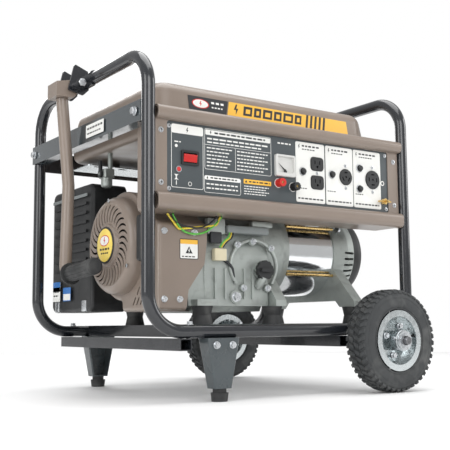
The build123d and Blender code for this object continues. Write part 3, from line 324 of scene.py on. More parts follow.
class Piece:
    """One visible piece: shapes in millimetres, finished as an object in metres."""

    def __init__(self, name, slot, *materials, body=ROOT):
        self.name, self.slot, self.body = name, slot, body
        self.materials = [M[m] for m in materials]
        self.bm = bmesh.new()

    def take(self, mesh, matrix=None, mat=0):
        if matrix is not None:
            mesh.transform(matrix)
        start = len(self.bm.faces)
        self.bm.from_mesh(mesh)
        self.bm.faces.ensure_lookup_table()
        for face in self.bm.faces[start:]:
            face.material_index = mat
        bpy.data.meshes.remove(mesh)

    def faces(self, verts, faces, matrix=None, mat=0):
        mesh = bpy.data.meshes.new("part")
        mesh.from_pydata(verts, [], faces)
        self.take(mesh, matrix, mat)

    def curve(self, curve, matrix=None, mat=0):
        holder = bpy.data.objects.new("part", curve)
        mesh = bpy.data.meshes.new_from_object(holder)
        bpy.data.objects.remove(holder)
        bpy.data.curves.remove(curve)
        self.take(mesh, matrix, mat)

    def flat(self, matrix, outlines, low, high, bevel=0.0, mat=0):
        """A plate from one outer outline and any holes, between two heights."""
        if isinstance(outlines[0], tuple):
            outlines = [outlines]
        curve = bpy.data.curves.new("part", "CURVE")
        curve.dimensions, curve.fill_mode = "2D", "BOTH"
        for points in outlines:
            spline = curve.splines.new("POLY")
            spline.points.add(len(points) - 1)
            for point, (x, y) in zip(spline.points, points):
                point.co = (x, y, 0, 1)
            spline.use_cyclic_u = True
        half = (high - low) / 2
        bevel = min(bevel, half * 0.9)
        curve.extrude, curve.bevel_depth, curve.offset = half - bevel, bevel, -bevel
        curve.bevel_resolution = 1
        self.curve(curve, matrix @ Matrix.Translation((0, 0, (low + high) / 2)), mat)

    def lathe(self, matrix, profile, turns=32, mat=0, closed=False):
        """Revolves (radius, height) points about the local z axis."""
        verts, rings, faces = [], [], []
        for r, z in profile:
            if r < 1e-6:
                rings.append([len(verts)])
                verts.append((0, 0, z))
            else:
                rings.append(list(range(len(verts), len(verts) + turns)))
                verts += [(r * math.cos(2 * math.pi * k / turns),
                           r * math.sin(2 * math.pi * k / turns), z) for k in range(turns)]
        pairs = list(zip(rings, rings[1:])) + ([(rings[-1], rings[0])] if closed else [])
        for a, b in pairs:
            for i in range(turns):
                j = (i + 1) % turns
                loop = [a[i % len(a)], a[j % len(a)], b[j % len(b)], b[i % len(b)]]
                loop = list(dict.fromkeys(loop))
                if len(loop) > 2:
                    faces.append(loop)
        self.faces(verts, faces, matrix, mat)

    def tube(self, points, radius, mat=0, order=3):
        """A round bar or hose on one smooth line through the frame."""
        curve = bpy.data.curves.new("part", "CURVE")
        curve.dimensions = "3D"
        spline = curve.splines.new("NURBS")
        spline.points.add(len(points) - 1)
        for point, co in zip(spline.points, points):
            point.co = (*co, 1)
        spline.order_u, spline.use_endpoint_u = min(order, len(points)), True
        spline.resolution_u = 8
        curve.bevel_depth, curve.bevel_resolution = radius, 3
        curve.use_fill_caps = True
        self.curve(curve, None, mat)

    def block(self, matrix, size, bevel=0.6, mat=0):
        """A box centred on the local frame, with every edge rounded."""
        bm = bmesh.new()
        bmesh.ops.create_cube(bm, size=1.0)
        bmesh.ops.scale(bm, vec=size, verts=bm.verts)
        if bevel:
            bmesh.ops.bevel(bm, geom=bm.edges[:], offset=min(bevel, min(size) * 0.45),
                            segments=2, profile=0.5, affect="EDGES")
        mesh = bpy.data.meshes.new("part")
        bm.to_mesh(mesh)
        bm.free()
        self.take(mesh, matrix, mat)

    def span(self, low, high, bevel=0.6, mat=0):
        """A rounded box between two corners of the frame."""
        centre = [(a + b) / 2 for a, b in zip(low, high)]
        size = [b - a for a, b in zip(low, high)]
        self.block(Matrix.Translation(centre), size, bevel, mat)

    def hex_bolt(self, matrix, across=10.0, height=5.0, washer=True, mat=0):
        r = across / 2
        base = 0.0
        if washer:
            self.lathe(matrix, [(0, 0), (r * 1.42, 0), (r * 1.42, 1.0), (r * 1.34, 1.3),
                                (0, 1.3)], 28, mat)
            base = 1.2
        corner = r / math.cos(math.pi / 6)
        self.flat(matrix, ring_points(corner, 6), base, base + height, 0.35, mat)
        self.lathe(matrix, [(0, base + height - 0.1), (r * 0.86, base + height - 0.1),
                            (r * 0.80, base + height + 0.25), (0, base + height + 0.3)],
                   24, mat)

    def screw(self, matrix, radius=4.0, mat=0, dark=None):
        """Pan head with a cross recess and a washer."""
        h = radius * 0.55
        self.lathe(matrix, [(0, 0), (radius * 1.25, 0), (radius * 1.25, 0.5),
                            (radius * 1.0, 0.6), (radius * 0.99, h * 0.6),
                            (radius * 0.86, h * 0.9), (radius * 0.6, h), (0, h * 1.05)],
                   26, mat)
        if dark is not None:
            w = radius * 0.14
            cross = [(-w, radius * 0.55), (-w, w), (-radius * 0.55, w), (-radius * 0.55, -w),
                     (-w, -w), (-w, -radius * 0.55), (w, -radius * 0.55), (w, -w),
                     (radius * 0.55, -w), (radius * 0.55, w), (w, w), (w, radius * 0.55)]
            self.flat(matrix, cross, h * 0.7, h * 1.08, 0, dark)

    def bars(self, matrix, x0, x1, y, height, low, high, seed, mat=0, words=(4, 11)):
        """A row of plain dashes that stands for a printed line."""
        rng = random.Random(seed)
        x = x0
        while x < x1 - 1.5:
            end = min(x1, x + rng.uniform(*words))
            self.flat(matrix, rounded(x, end, y - height / 2, y + height / 2, 0.2, 2),
                      low, high, 0, mat)
            x = end + height * 0.9

    def text(self, matrix, body, size, low, high, mat=0):
        curve = bpy.data.curves.new("part", "FONT")
        curve.body, curve.size = body, size
        curve.align_x, curve.align_y = "CENTER", "CENTER"
        curve.extrude = (high - low) / 2
        curve.resolution_u = 3
        self.curve(curve, matrix @ Matrix.Translation((0, 0, (low + high) / 2)), mat)

    def done(self, replaces=()):
        bmesh.ops.remove_doubles(self.bm, verts=self.bm.verts, dist=1e-4)
        bmesh.ops.recalc_face_normals(self.bm, faces=self.bm.faces)
        mesh = bpy.data.meshes.new(self.name)
        self.bm.to_mesh(mesh)
        self.bm.free()
        mesh.transform(Matrix.Translation((FRAME_X, 0, 0)) @ Matrix.Scale(MM, 4))
        for material in self.materials:
            mesh.materials.append(material)
        mesh.polygons.foreach_set("use_smooth", [True] * len(mesh.polygons))
        mesh.set_sharp_from_angle(angle=math.radians(32))
        obj = bpy.data.objects.new(self.name, mesh)
        scene.collection.objects.link(obj)
        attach(obj, self.body)
        if replaces:
            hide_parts(*replaces)


# Centres of the outlets on the panel face, across and up.
duplex_at = (75, 453.5)
twist_small_at = (155, 453)
twist_large_at = (234, 454)
breakers_at = ((36, 454), (116, 455), (196, 476), (195, 431))


# ------------------------------------------------------------------- tyres
def tyre_tread(side, end):
    """Tyre with chunky staggered lugs over a smooth carcass."""
    hub = place((WHEEL_X, side * WHEEL_Y, WHEEL_R), (0, side, 0))
    tyre = Piece(f"treaded_tyre_{end}", "tyre_rubber", "tyre_rubber", body=f"wheel_{end}")
    tyre.lathe(hub, [(63, 21), (65, 24.6), (70, 26.2), (82, 26.9), (92, 26.3), (98, 24.2),
                     (101.6, 20.5), (102.4, 14), (102.4, -14), (101.6, -20.5), (98, -24.2),
                     (92, -26.3), (82, -26.9), (70, -26.2), (65, -24.6), (63, -21)],
               96, closed=True)
    for radius in (68.5, 88.5):
        for z in (26.0, -26.0):
            tyre.lathe(hub, [(radius - 1, z - 0.9), (radius - 0.5, z + 0.9),
                             (radius + 0.5, z + 0.9), (radius + 1, z - 0.9)], 72, closed=True)
    rows = ((-25.6, -14.6, 0.0, 0.35), (-13.2, -1.0, 0.5, -0.3), (1.0, 13.2, 0.0, 0.3),
            (14.6, 25.6, 0.5, -0.35))
    count = 44
    step = 2 * math.pi / count
    for k in range(count):
        for z0, z1, shift, lean in rows:
            verts = []
            for radius, trim in ((98.0, 0.0), (105.9, 0.10)):
                for a, z in ((0.0, z0), (0.72, z0), (0.72, z1), (0.0, z1)):
                    inner = z0 if abs(z0) < abs(z1) else z1
                    push = lean * (abs(z) - abs(inner)) / 11.0
                    drop = 3.6 if abs(z) > 25 and radius > 100 else 0.0
                    edge = trim if a == 0.0 else -trim
                    angle = (k + shift + a + edge + push) * step
                    verts.append(((radius - drop) * math.cos(angle),
                                  (radius - drop) * math.sin(angle), z))
            tyre.faces(verts, [(3, 2, 1, 0), (4, 5, 6, 7), (0, 1, 5, 4), (1, 2, 6, 5),
                               (2, 3, 7, 6), (3, 0, 4, 7)], hub)
    tyre.done(replaces=(f"tyre_{end}",))
    bolts = Piece(f"rim_bolts_{end}", "zinc", "bolt_zinc", "dark_print",
                  body=f"wheel_{end}")
    for k in range(4):
        a = math.radians(71 + 90 * k)
        for face in (1, -1):
            spot = hub @ Matrix.Translation((31.5 * math.cos(a), 31.5 * math.sin(a),
                                             16.4 if face > 0 else 13.4))
            if face < 0:
                spot = spot @ Matrix.Rotation(math.pi, 4, "X")
            bolts.hex_bolt(spot, 9.5, 4.5)
    bolts.lathe(hub, [(13, 40.6), (19.5, 40.6), (19.5, 38.2), (21.5, 36.0), (21.5, 30),
                      (20.6, 30), (20.6, 35), (13, 38)], 40, closed=True)
    bolts.tube([tuple(hub @ Vector((48, 8, 5))), tuple(hub @ Vector((51, 8.6, 12))),
                tuple(hub @ Vector((51.6, 8.8, 20)))], 2.4, 1)
    bolts.done()


for side, end in ((-1, "front"), (1, "rear")):
    tyre_tread(side, end)
axle_ends = Piece("axle_ends", "zinc", "bolt_zinc")
for side in (-1, 1):
    at = place((WHEEL_X, side * 351.5, WHEEL_R), (0, side, 0))
    axle_ends.lathe(at, [(8.2, -0.6), (13.5, -0.6), (13.5, 0.6), (8.2, 0.6)], 32, closed=True)
    axle_ends.tube([(220, side * 356.6, 114.5), (222, side * 356.8, 120),
                    (226, side * 357, 122)], 0.9)
    axle_ends.tube([(220, side * 356.6, 97.5), (224, side * 356.8, 92),
                    (219, side * 357, 90)], 0.9)
axle_ends.done()

# ---------------------------------------------------------- panel graphics
FACE = place((0, FACE_Y, 0), (0, -1, 0))
INK = (0.04, 0.22)


def frame_box(piece, x0, x1, y0, y1, line, header):
    """Printed outline, with a filled header strip when one is asked for."""
    piece.flat(FACE, [rounded(x0, x1, y0, y1, 4),
                      rounded(x0 + line, x1 - line, y0 + line, y1 - line, 3.2)[::-1]], *INK)
    if header:
        piece.flat(FACE, rounded(x0 + line, x1 - line, y1 - header, y1 - line, 3), *INK)


print_work = Piece("panel_print", "white_print", "white_print", "dark_print", "yellow_print")
frame_box(print_work, -279, -208, 395, 515, 1.0, 17)
print_work.flat(FACE, moved(BOLT_ICON, -244, 505.5, size=0.55), 0.2, 0.34, 0, 1)
print_work.bars(FACE, -272, -258, 482, 2.2, *INK, 5)
print_work.flat(FACE, ring_points(3, 20, -268, 474), *INK)
print_work.flat(FACE, rounded(-269, -267, 420, 410, 0.4), *INK)
print_work.flat(FACE, rounded(-268.8, -267.2, 400, 408, 0.3), *INK)          # on mark
print_work.flat(FACE, [ring_points(4.2, 24, -238, 404),                      # off mark
                       ring_points(3.2, 24, -238, 404)[::-1]], *INK)
frame_box(print_work, -205, -45, 436, 515, 0.8, 0)
print_work.flat(FACE, rounded(-203, -47, 503, 513, 2), *INK)
print_work.flat(FACE, moved(BOLT_ICON, -191, 508, size=0.42), 0.2, 0.34, 0, 1)
print_work.bars(FACE, -182, -60, 508, 3.2, 0.2, 0.34, 8, 1, (6, 15))
print_work.bars(FACE, -199, -52, 496, 3.0, *INK, 11, 0, (7, 16))
print_work.bars(FACE, -199, -70, 489, 2.6, *INK, 12, 0, (7, 16))
print_work.flat(FACE, rounded(-204, -46, 483.4, 484.1, 0.2), *INK)
print_work.flat(FACE, rounded(-133.4, -132.7, 438, 483, 0.2), *INK)
for row in range(6):
    y = 478 - 7 * row
    print_work.bars(FACE, -200, -140 - 6 * (row % 3), y, 2.2, *INK, 20 + row, 0, (4, 10))
    print_work.bars(FACE, -129, -54 - 9 * (row % 2), y, 2.2, *INK, 40 + row, 0, (4, 10))
frame_box(print_work, -206, -121, 391, 424, 0.8, 8)
print_work.flat(FACE, moved(DROP_ICON, -199, 420, size=0.32), 0.2, 0.34, 0, 1)
print_work.bars(FACE, -192, -130, 420, 2.6, 0.2, 0.34, 60, 1)
for row in range(2):
    print_work.bars(FACE, -201, -128, 408 - 8 * row, 2.6, *INK, 61 + row, 0, (4, 10))
print_work.flat(FACE, rounded(-114, -46, 416, 425, 1.5), *INK, 0, 2)
print_work.flat(FACE, moved(TRIANGLE_ICON, -108, 420.5, size=0.5), 0.2, 0.34, 0, 1)
print_work.bars(FACE, -101, -50, 420.6, 2.8, 0.2, 0.34, 71, 1, (4, 10))
for row in range(4):
    print_work.bars(FACE, -113, -52 - 8 * (row % 2), 411 - 5 * row, 1.8, *INK, 72 + row, 0, (3, 8))
print_work.bars(FACE, -28, 6, 507, 3.0, *INK, 80, 0, (5, 9))
plates = ((18, 96, duplex_at, (36, 454)), (99, 176, twist_small_at, (116, 455)),
          (178, 259, twist_large_at, (196, 476)))
for number, (x0, x1, socket, breaker) in enumerate(plates):
    holes = [ring_points(9.2, 28, *breaker)[::-1]]
    if number == 0:
        holes += [rounded(57.2, 92.8, 453.5 + dz - 14.8, 453.5 + dz + 14.8, 8)[::-1]
                  for dz in (-19.5, 19.5)]
    else:
        holes.append(ring_points((17.8, 20.8)[number - 1], 36, *socket)[::-1])
    if number == 2:
        holes.append(ring_points(9.2, 28, 195, 431)[::-1])
    print_work.flat(FACE, [rounded(x0, x1, 390, 516, 4)] + holes, 0.05, 0.9, 0.25)
    print_work.flat(FACE, moved(BOLT_ICON, x0 + 9, 506, size=0.5), 0.9, 1.05, 0, 1)
    print_work.bars(FACE, x0 + 17, x1 - 14, 508, 3.4, 0.9, 1.05, 90 + number, 1, (5, 9))
    print_work.bars(FACE, x0 + 17, x1 - 26, 501, 2.2, 0.9, 1.05, 95 + number, 1, (3, 6))
    print_work.bars(FACE, x0 + 5, x1 - 6, 398, 3.0, 0.9, 1.05, 100 + number, 1, (5, 9))
    print_work.bars(FACE, breaker[0] - 13, breaker[0] + 10, 419, 2.0, 0.9, 1.05,
                    105 + number, 1, (3, 5))
print_work.done()

fittings = Piece("panel_fittings", "zinc", "bolt_zinc", "dark_print", "red_print",
                 "white_print")
for bx, bz in breakers_at:
    fittings.lathe(place((bx, FACE_Y, bz), (0, -1, 0)),
                   [(7.5, 0), (9.0, 0), (9.0, 1.8), (8.4, 2.6), (7.5, 2.6)], 30, closed=True)
for (sx, sz), gap in ((duplex_at, 0), (twist_small_at, 24), (twist_large_at, 27)):
    for spot in ((sx, sz + gap), (sx, sz - gap)) if gap else ((sx, sz),):
        fittings.screw(place((spot[0], -256, spot[1]), (0, -1, 0)), 3.0, 0, 1)
for sx, sz in ((-284, 510), (-284, 392), (274, 512), (274, 392)):
    fittings.screw(place((sx, FACE_Y - 0.1, sz), (0, -1, 0)), 3.4, 0, 1)
for sx, sz in ((-302, 500), (-302, 402), (298, 500), (298, 402)):
    fittings.screw(place((sx, -257, sz), (0, -1, 0)), 4.4, 0, 1)
fittings.lathe(place((-263, FACE_Y, 430), (0, -1, 0)),
               [(0, 3.2), (2.6, 3.0), (4.2, 1.6), (4.5, 0), (0, 0)], 28, 2)
fittings.lathe(place((-263, FACE_Y, 430), (0, -1, 0)),
               [(4.6, 0), (6.0, 0), (6.0, 1.2), (4.6, 1.4)], 28, 0, closed=True)
fittings.lathe(place((265, FACE_Y, 449), (0, -1, 0)),
               [(3.4, 0.1), (5.5, 0.1), (5.5, 0.4), (3.4, 0.4)], 28, 3, closed=True)
for post_x, post_z in ((-28, 424), (9.5, 419)):
    fittings.lathe(place((post_x, FACE_Y - 0.1, post_z), (0, -1, 0)),
                   [(3.2, 0), (9.6, 0), (9.6, 0.2), (3.2, 0.2)], 30, 3, closed=True)
fittings.done()

dial = Piece("meter_dial", "white_print", "white_print", "dark_print")
DIAL = place((-12, -253.2, 462.5), (0, -1, 0))
dial.flat(DIAL, rounded(-20.5, 20.5, -16, 16, 2.4), 0, 0.5, 0, 0)
for k in range(19):
    a = math.radians(160 - 140 * k / 18)
    long = 3.4 if k % 3 == 0 else 2.0
    dial.flat(DIAL, [(15.5 * math.cos(a) * 1.1, -9 + 15.5 * math.sin(a)),
                     ((15.5 + long) * math.cos(a) * 1.1, -9 + (15.5 + long) * math.sin(a)),
                     ((15.5 + long) * math.cos(a - 0.03) * 1.1,
                      -9 + (15.5 + long) * math.sin(a - 0.03)),
                     (15.5 * math.cos(a - 0.03) * 1.1, -9 + 15.5 * math.sin(a - 0.03))],
              0.5, 0.6, 0, 1)
for value, a in ((0, 150), (100, 112), (200, 72), (300, 32)):
    a = math.radians(a)
    dial.text(DIAL @ Matrix.Translation((11 * math.cos(a) * 1.2, -9 + 12 * math.sin(a), 0)),
              str(value), 4.2, 0.5, 0.6, 1)
dial.text(DIAL @ Matrix.Translation((0, -6, 0)), "V", 5.0, 0.5, 0.6, 1)
dial.lathe(place((-12, -259.2, 448), (0, -1, 0)), [(0, 0), (3.4, 0), (3.2, 1.2), (0, 1.4)],
           24, 1)
dial.done()

# ------------------------------------------------------------- tank graphics
LEAN = math.radians(11.04)
WALL = place((0, -216.9, 550), (0, -math.cos(LEAN), math.sin(LEAN)))
decal = Piece("tank_decal", "yellow_print", "yellow_print", "dark_print", "white_print",
              "red_print")
decal.flat(WALL, [(-214, 10), (-126, 10), (-118, 40.5), (-214, 40.5)], 0.25, 0.45, 0, 1)
decal.flat(WALL, [(-123.5, 10), (203, 10), (203, 40.5), (-115.5, 40.5)], 0.25, 0.45, 0, 0)
decal.flat(WALL, ring_points(20, 40, -186, 25.5, 0.5), 0.45, 0.55, 0, 3)
decal.flat(WALL, ring_points(17.6, 40, -186, 25.5, 0.48), 0.55, 0.65, 0, 2)
decal.flat(WALL, moved(BOLT_ICON, -186, 25.5, size=0.6), 0.65, 0.75, 0, 3)
decal.bars(WALL, -160, -130, 31, 4.5, 0.45, 0.55, 31, 2, (7, 12))
decal.bars(WALL, -160, -134, 21, 3.0, 0.45, 0.55, 32, 2, (4, 8))
decal.flat(WALL, moved(BOLT_ICON, -100, 25.5, size=1.15), 0.45, 0.55, 0, 1)
x = -84                  # left end of the chunky bars
for width in (22, 18, 24, 20, 26, 18):
    decal.flat(WALL, [(x, 15), (x + width, 15), (x + width + 5, 36), (x + 5, 36)],
               0.45, 0.55, 0, 1)
    decal.flat(WALL, [(x + 7, 20), (x + width - 4, 20), (x + width - 1.5, 30), (x + 9.5, 30)],
               0.55, 0.62, 0, 0)
    x += width + 5
for k in range(5):
    decal.flat(WALL, [(x + 6 + 12 * k, 10), (x + 12 + 12 * k, 10), (x + 20 + 12 * k, 40.5),
                      (x + 14 + 12 * k, 40.5)], 0.45, 0.55, 0, 1)
decal.done()
tank_bolts = Piece("tank_flange_bolts", "zinc", "bolt_zinc")
for bx, by in ((-285, -190), (268, -190), (-285, 150), (268, 150)):
    tank_bolts.hex_bolt(place((bx, by, 549.6)), 10, 5)
tank_bolts.done()

# ------------------------------------------------------------ starter cover
COVER = place((RECOIL_X, SHAFT_Y, SHAFT_Z), (-1, 0, 0))
cover = Piece("slotted_starter_cover", "taupe", "taupe")
cover.lathe(COVER, [(98, 0), (98, 12), (96.6, 18.9), (92.7, 24.7), (88.6, 28.2), (85, 29.7),
                    (83.4, 29.9), (83.4, 27.4), (86, 26.2), (90.8, 22.9), (94.3, 17.9),
                    (95.5, 12), (95.5, 0)], 96, closed=True)


def curved_slot(start):
    """Outline of one air slot that bends with the turn of the fan."""
    left, right = [], []
    for k in range(10):
        t = k / 9
        radius = 46.5 + 34 * t
        angle = start + 0.14 * t - 0.36 * t * t
        half = (1.9 + 0.9 * t) * (0.55 if k in (0, 9) else 1.0) / radius
        left.append((radius * math.cos(angle + half), radius * math.sin(angle + half)))
        right.append((radius * math.cos(angle - half), radius * math.sin(angle - half)))
    return left + right[::-1]


cover.flat(COVER, [ring_points(84.2, 96)] + [curved_slot(2 * math.pi * k / 30)
                                             for k in range(30)], 27.4, 29.9, 0.3)
cover.lathe(COVER, [(38, 29.5), (42.6, 29.7), (41.6, 32.5), (40.4, 34.6), (37, 36), (0, 36),
                    (0, 29.5)], 64)
cover.done(replaces=("recoil_cover",))

# ------------------------------------------------------------ starter badge
BOSS = place((RECOIL_X - 36, SHAFT_Y, SHAFT_Z), (-1, 0, 0))
badge = Piece("starter_badge", "badge_yellow", "pale_yellow", "white_print", "red_print",
              "dark_print", "bolt_zinc")
badge.flat(BOSS, ring_points(37, 56, squash=1.0), -0.3, 1.6, 0.8, 3)
badge.flat(BOSS, ring_points(33, 56), 1.6, 2.2, 0.2, 0)
badge.flat(BOSS, ring_points(20, 40, 0, 9, 0.55), 2.2, 2.5, 0, 2)
badge.flat(BOSS, ring_points(18, 40, 0, 9, 0.52), 2.5, 2.7, 0, 1)
badge.flat(BOSS, moved(BOLT_ICON, 0, 9, size=0.75), 2.7, 2.9, 0, 2)
badge.bars(BOSS, -20, 20, -8, 4, 2.2, 2.5, 7, 3, (6, 11))
badge.bars(BOSS, -15, 15, -16, 3, 2.2, 2.5, 9, 3, (4, 8))
for k in range(3):
    a = math.radians(90 + 120 * k)
    badge.screw(place((RECOIL_X - 30.2, SHAFT_Y + 90 * math.cos(a),
                       SHAFT_Z + 90 * math.sin(a)), (-1, 0, 0)),
                3.2, 4, 3)
badge.done()

sticker = Piece("shroud_sticker", "white_print", "white_print", "dark_print", "yellow_print",
                "bolt_zinc")
SIDE = place((0, SHROUD_Y, 0), (0, -1, 0))
sticker.flat(SIDE, rounded(-238, -196, 266, 305, 3), 0.05, 0.25, 0, 1)
sticker.flat(SIDE, rounded(-236.5, -197.5, 267.5, 303.5, 2), 0.25, 0.35, 0, 0)
sticker.flat(SIDE, rounded(-236.5, -197.5, 295, 303.5, 1), 0.35, 0.42, 0, 2)
sticker.flat(SIDE, moved(TRIANGLE_ICON, -217, 283, size=1.3), 0.35, 0.42, 0, 1)
sticker.flat(SIDE, moved(BOLT_ICON, -217, 282, size=0.45), 0.42, 0.5, 0, 0)
sticker.bars(SIDE, -233, -201, 271, 2.2, 0.35, 0.42, 3, 1, (4, 8))
for sx, sz in ((-272, 190), (-238, 190), (-272, 318), (-205, 318)):
    sticker.hex_bolt(place((sx, SHROUD_Y, sz), (0, -1, 0)), 9, 4.5, mat=3)
sticker.done()

# --------------------------------------------------------------- engine side
engine = Piece("engine_front_details", "cast_alu", "cast_alu", "dark_print", "bolt_zinc",
               "cream_plastic", "grey_plastic")
engine.span((-170, -212, 318), (-128, -196, 350), 3, 0)
engine.span((-166, -217, 300), (-140, -206, 322), 2, 1)
engine.span((-158, -219, 266), (-130, -205, 290), 2, 3)
engine.span((-125, -216, 322), (-22, -190, 338), 4, 4)
engine.span((-60, -210, 338), (-8, -196, 350), 3, 0)
for k, (bx, bz) in enumerate(((-98, 300), (-84, 214), (-24, 214), (-14, 296), (-60, 308))):
    engine.lathe(place((bx, -206, bz), (0, -1, 0)),
                 [(0, 0), (8.5, 0), (7.6, 4.5), (0, 4.5)], 28, 0)
    engine.hex_bolt(place((bx, -210.4, bz), (0, -1, 0)), 9, 4, mat=2)
engine.hex_bolt(place((-102, -208, 196), (0, -1, 0)), 14, 7, mat=2)
arc = [(-56 + 58 * math.cos(math.radians(a)), -206, 258 + 54 * math.sin(math.radians(a)))
       for a in range(-40, 221, 20)]
engine.tube(arc, 4.2, 0)
engine.tube([(x, y, z) for x, y, z in ((-45, -204, 218), (-43, -214, 226), (-40, -218, 236))],
            9, 0)
engine.done()

ties = Piece("alternator_ties", "brass", "brass", "bolt_zinc", "cast_alu")
for angle in (150, 210, 330, 30):
    a = math.radians(angle)
    y, z = SHAFT_Y + 104 * math.cos(a), SHAFT_Z + 104 * math.sin(a)
    ties.tube([(66, y, z), (130, y, z), (198, y, z)], 3.2, 0, order=2)
    ties.hex_bolt(place((212, y, z), (1, 0, 0)), 10, 6, mat=1)
ties.lathe(place((0, SHAFT_Y, SHAFT_Z), (1, 0, 0)),
           [(111.8, -10), (112.6, -9), (112.6, 38), (111.8, 39)], 96, 2, closed=True)
ties.done()

# --------------------------------------------------------------- small leads
for name, key, shift in (("lead_green_held", "lead_green", 6), ("lead_dark_held", "dark_print", -6)):
    lead = Piece(name, key, key)
    lead.tube([(-262 + shift, -221.5, 351), (-250 + shift, -221.8, 330 - shift),
               (-215, -222, 318 - shift), (-172, -222, 326 - shift), (-150 + shift, -221.5, 351)],
              1.9)
    lead.done()
wires = Piece("connector_leads", "lead_green", "lead_green", "lead_yellow", "dark_print")
for k, key in enumerate((0, 1, 2)):
    wires.tube([(-144 + 4 * k, -214, 292), (-140 + 5 * k, -218, 304), (-124 + 5 * k, -218, 312),
                (-118 + 4 * k, -212, 326)], 1.4, key)
wires.tube([(-128, -206, 268), (-112, -210, 258), (-108, -208, 240), (-104, -206, 226)], 3.0, 2)
wires.done()

# --------------------------------------------------------------- air cleaner
lid = Piece("air_cleaner_trim", "grey_plastic", "grey_plastic", "white_print", "blue_print",
            "dark_print", "bolt_zinc")
LID = place((LID_X, 0, 0), (-1, 0, 0))
lid.flat(LID, rounded(-240, -60, 418, 425, 2), 0, 0.9, 0.3, 0)
lid.flat(LID, rounded(-236, -196, 196, 240, 2), 0, 0.3, 0, 1)
lid.flat(LID, rounded(-236, -196, 228, 240, 2), 0.3, 0.4, 0, 2)
lid.bars(LID, -232, -201, 218, 3, 0.3, 0.4, 1, 3, (5, 9))
lid.bars(LID, -232, -206, 209, 3, 0.3, 0.4, 2, 3, (5, 9))
lid.flat(LID, rounded(-180, -140, 196, 226, 2), 0, 0.3, 0, 2)
lid.flat(LID, rounded(-178, -142, 198, 212, 1), 0.3, 0.4, 0, 1)
for y in (80, 220):
    lid.span((-297, y - 10, 172), (-288, y + 10, 196), 2, 4)
lid.done()

# ------------------------------------------------------------- frame fasteners
fasteners = Piece("frame_fasteners", "zinc", "bolt_zinc", "white_print", "dark_print")
for side in (-1, 1):
    for leg in (-193, -157):
        fasteners.hex_bolt(place((leg, side * 273.2, 104), (0, side, 0)), 10, 5)
    for bx in (-240, 238):
        fasteners.hex_bolt(place((bx, side * 255, 142), (0, 0, 1)), 10, 5)
for y in (-236, 244):
    fasteners.hex_bolt(place((PLATE_X, y, 533), (-1, 0, 0)), 12, 6)
PLATE = place((PLATE_X - 0.1, 0, 0), (-1, 0, 0))
fasteners.flat(PLATE, rounded(30, 110, 520, 546, 2), 0, 0.3, 0, 1)
fasteners.bars(PLATE, 36, 104, 538, 4, 0.3, 0.4, 4, 2, (7, 14))
fasteners.bars(PLATE, 36, 96, 528, 3, 0.3, 0.4, 6, 2, (5, 11))
for y in (-32, 88):
    fasteners.hex_bolt(place((-356, y, 636), (0, 1 if y > 0 else -1, 0)), 15, 2, washer=False)
fasteners.done()

# ------------------------------------------------------ camera, light, floor
camera = bpy.data.objects.new("camera", bpy.data.cameras.new("camera"))
scene.collection.objects.link(camera)
camera.data.sensor_width = 36
camera.data.lens = 67.545
YAW, PITCH, ROLL = (math.radians(a) for a in (34.5916, 6.7237, -0.5158))
ahead = Vector((math.sin(YAW) * math.cos(PITCH), math.cos(YAW) * math.cos(PITCH),
                math.sin(PITCH)))
level = Vector((math.cos(YAW), -math.sin(YAW), 0))
above = level.cross(ahead)
across = level * math.cos(ROLL) + above * math.sin(ROLL)
upward = -level * math.sin(ROLL) + above * math.cos(ROLL)
camera.matrix_world = Matrix.Translation((-1.071436 + FRAME_X, -1.577770, 0.141809)) @ (
    Matrix((across, upward, -ahead)).transposed().to_4x4())
camera.data.clip_start, camera.data.clip_end = 0.05, 100
scene.camera = camera


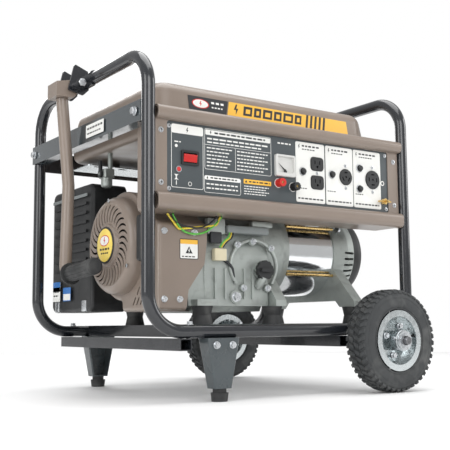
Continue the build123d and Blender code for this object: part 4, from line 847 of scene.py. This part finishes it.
def soft_light(name, position, target, size, power, colour=(1, 1, 1)):
    data = bpy.data.lights.new(name, "AREA")
    data.shape, data.size, data.size_y = "RECTANGLE", size[0], size[1]
    data.energy, data.color = power, colour
    lamp = bpy.data.objects.new(name, data)
    lamp.location = position
    lamp.rotation_euler = (Vector(target) - Vector(position)).to_track_quat("-Z", "Y").to_euler()
    scene.collection.objects.link(lamp)
    return lamp


soft_light("top_box", (0.1, -0.2, 2.6), (0, 0, 0.2), (2.4, 2.2), 46)
soft_light("front_box", (-1.0, -2.8, 1.5), (0, 0, 0.3), (1.8, 1.6), 30)
soft_light("left_box", (-2.8, -0.6, 1.1), (0, 0, 0.3), (1.4, 1.8), 24)
soft_light("right_box", (2.6, -1.4, 1.3), (0.1, 0, 0.3), (1.2, 1.6), 20)
soft_light("back_box", (0.6, 2.8, 1.7), (0, 0, 0.3), (1.8, 1.4), 26)

world = bpy.data.worlds.new("studio")
world.use_nodes = True
world.node_tree.nodes["Background"].inputs["Color"].default_value = (1.0, 1.0, 1.0, 1)
world.node_tree.nodes["Background"].inputs["Strength"].default_value = 0.55
backdrop = world.node_tree.nodes.new("ShaderNodeBackground")     # what the camera sees
backdrop.inputs["Color"].default_value = (1.0, 1.0, 1.0, 1)
backdrop.inputs["Strength"].default_value = 1.0
path = world.node_tree.nodes.new("ShaderNodeLightPath")
blend = world.node_tree.nodes.new("ShaderNodeMixShader")
world.node_tree.links.new(path.outputs["Is Camera Ray"], blend.inputs[0])
world.node_tree.links.new(world.node_tree.nodes["Background"].outputs[0], blend.inputs[1])
world.node_tree.links.new(backdrop.outputs[0], blend.inputs[2])
world.node_tree.links.new(blend.outputs[0], world.node_tree.nodes["World Output"].inputs[0])
scene.world = world
scene.view_settings.view_transform = "Standard"

floor_mesh = bpy.data.meshes.new("floor")
floor_mesh.from_pydata([(2.5 * math.cos(a * math.pi / 24), 2.5 * math.sin(a * math.pi / 24), 0)
                        for a in range(48)], [], [list(range(48))])
floor = bpy.data.objects.new("floor", floor_mesh)
scene.collection.objects.link(floor)
floor_shade = Shade("floor_paper")
floor_shade.colour(floor_shade.mix(floor_shade.noise(3, 2), (0.93, 0.93, 0.93),
                                   (0.95, 0.95, 0.95)))
floor_shade.roughness(floor_shade.remap(floor_shade.noise(8, 2), 0.7, 0.8))
floor_mesh.materials.append(floor_shade.mat)
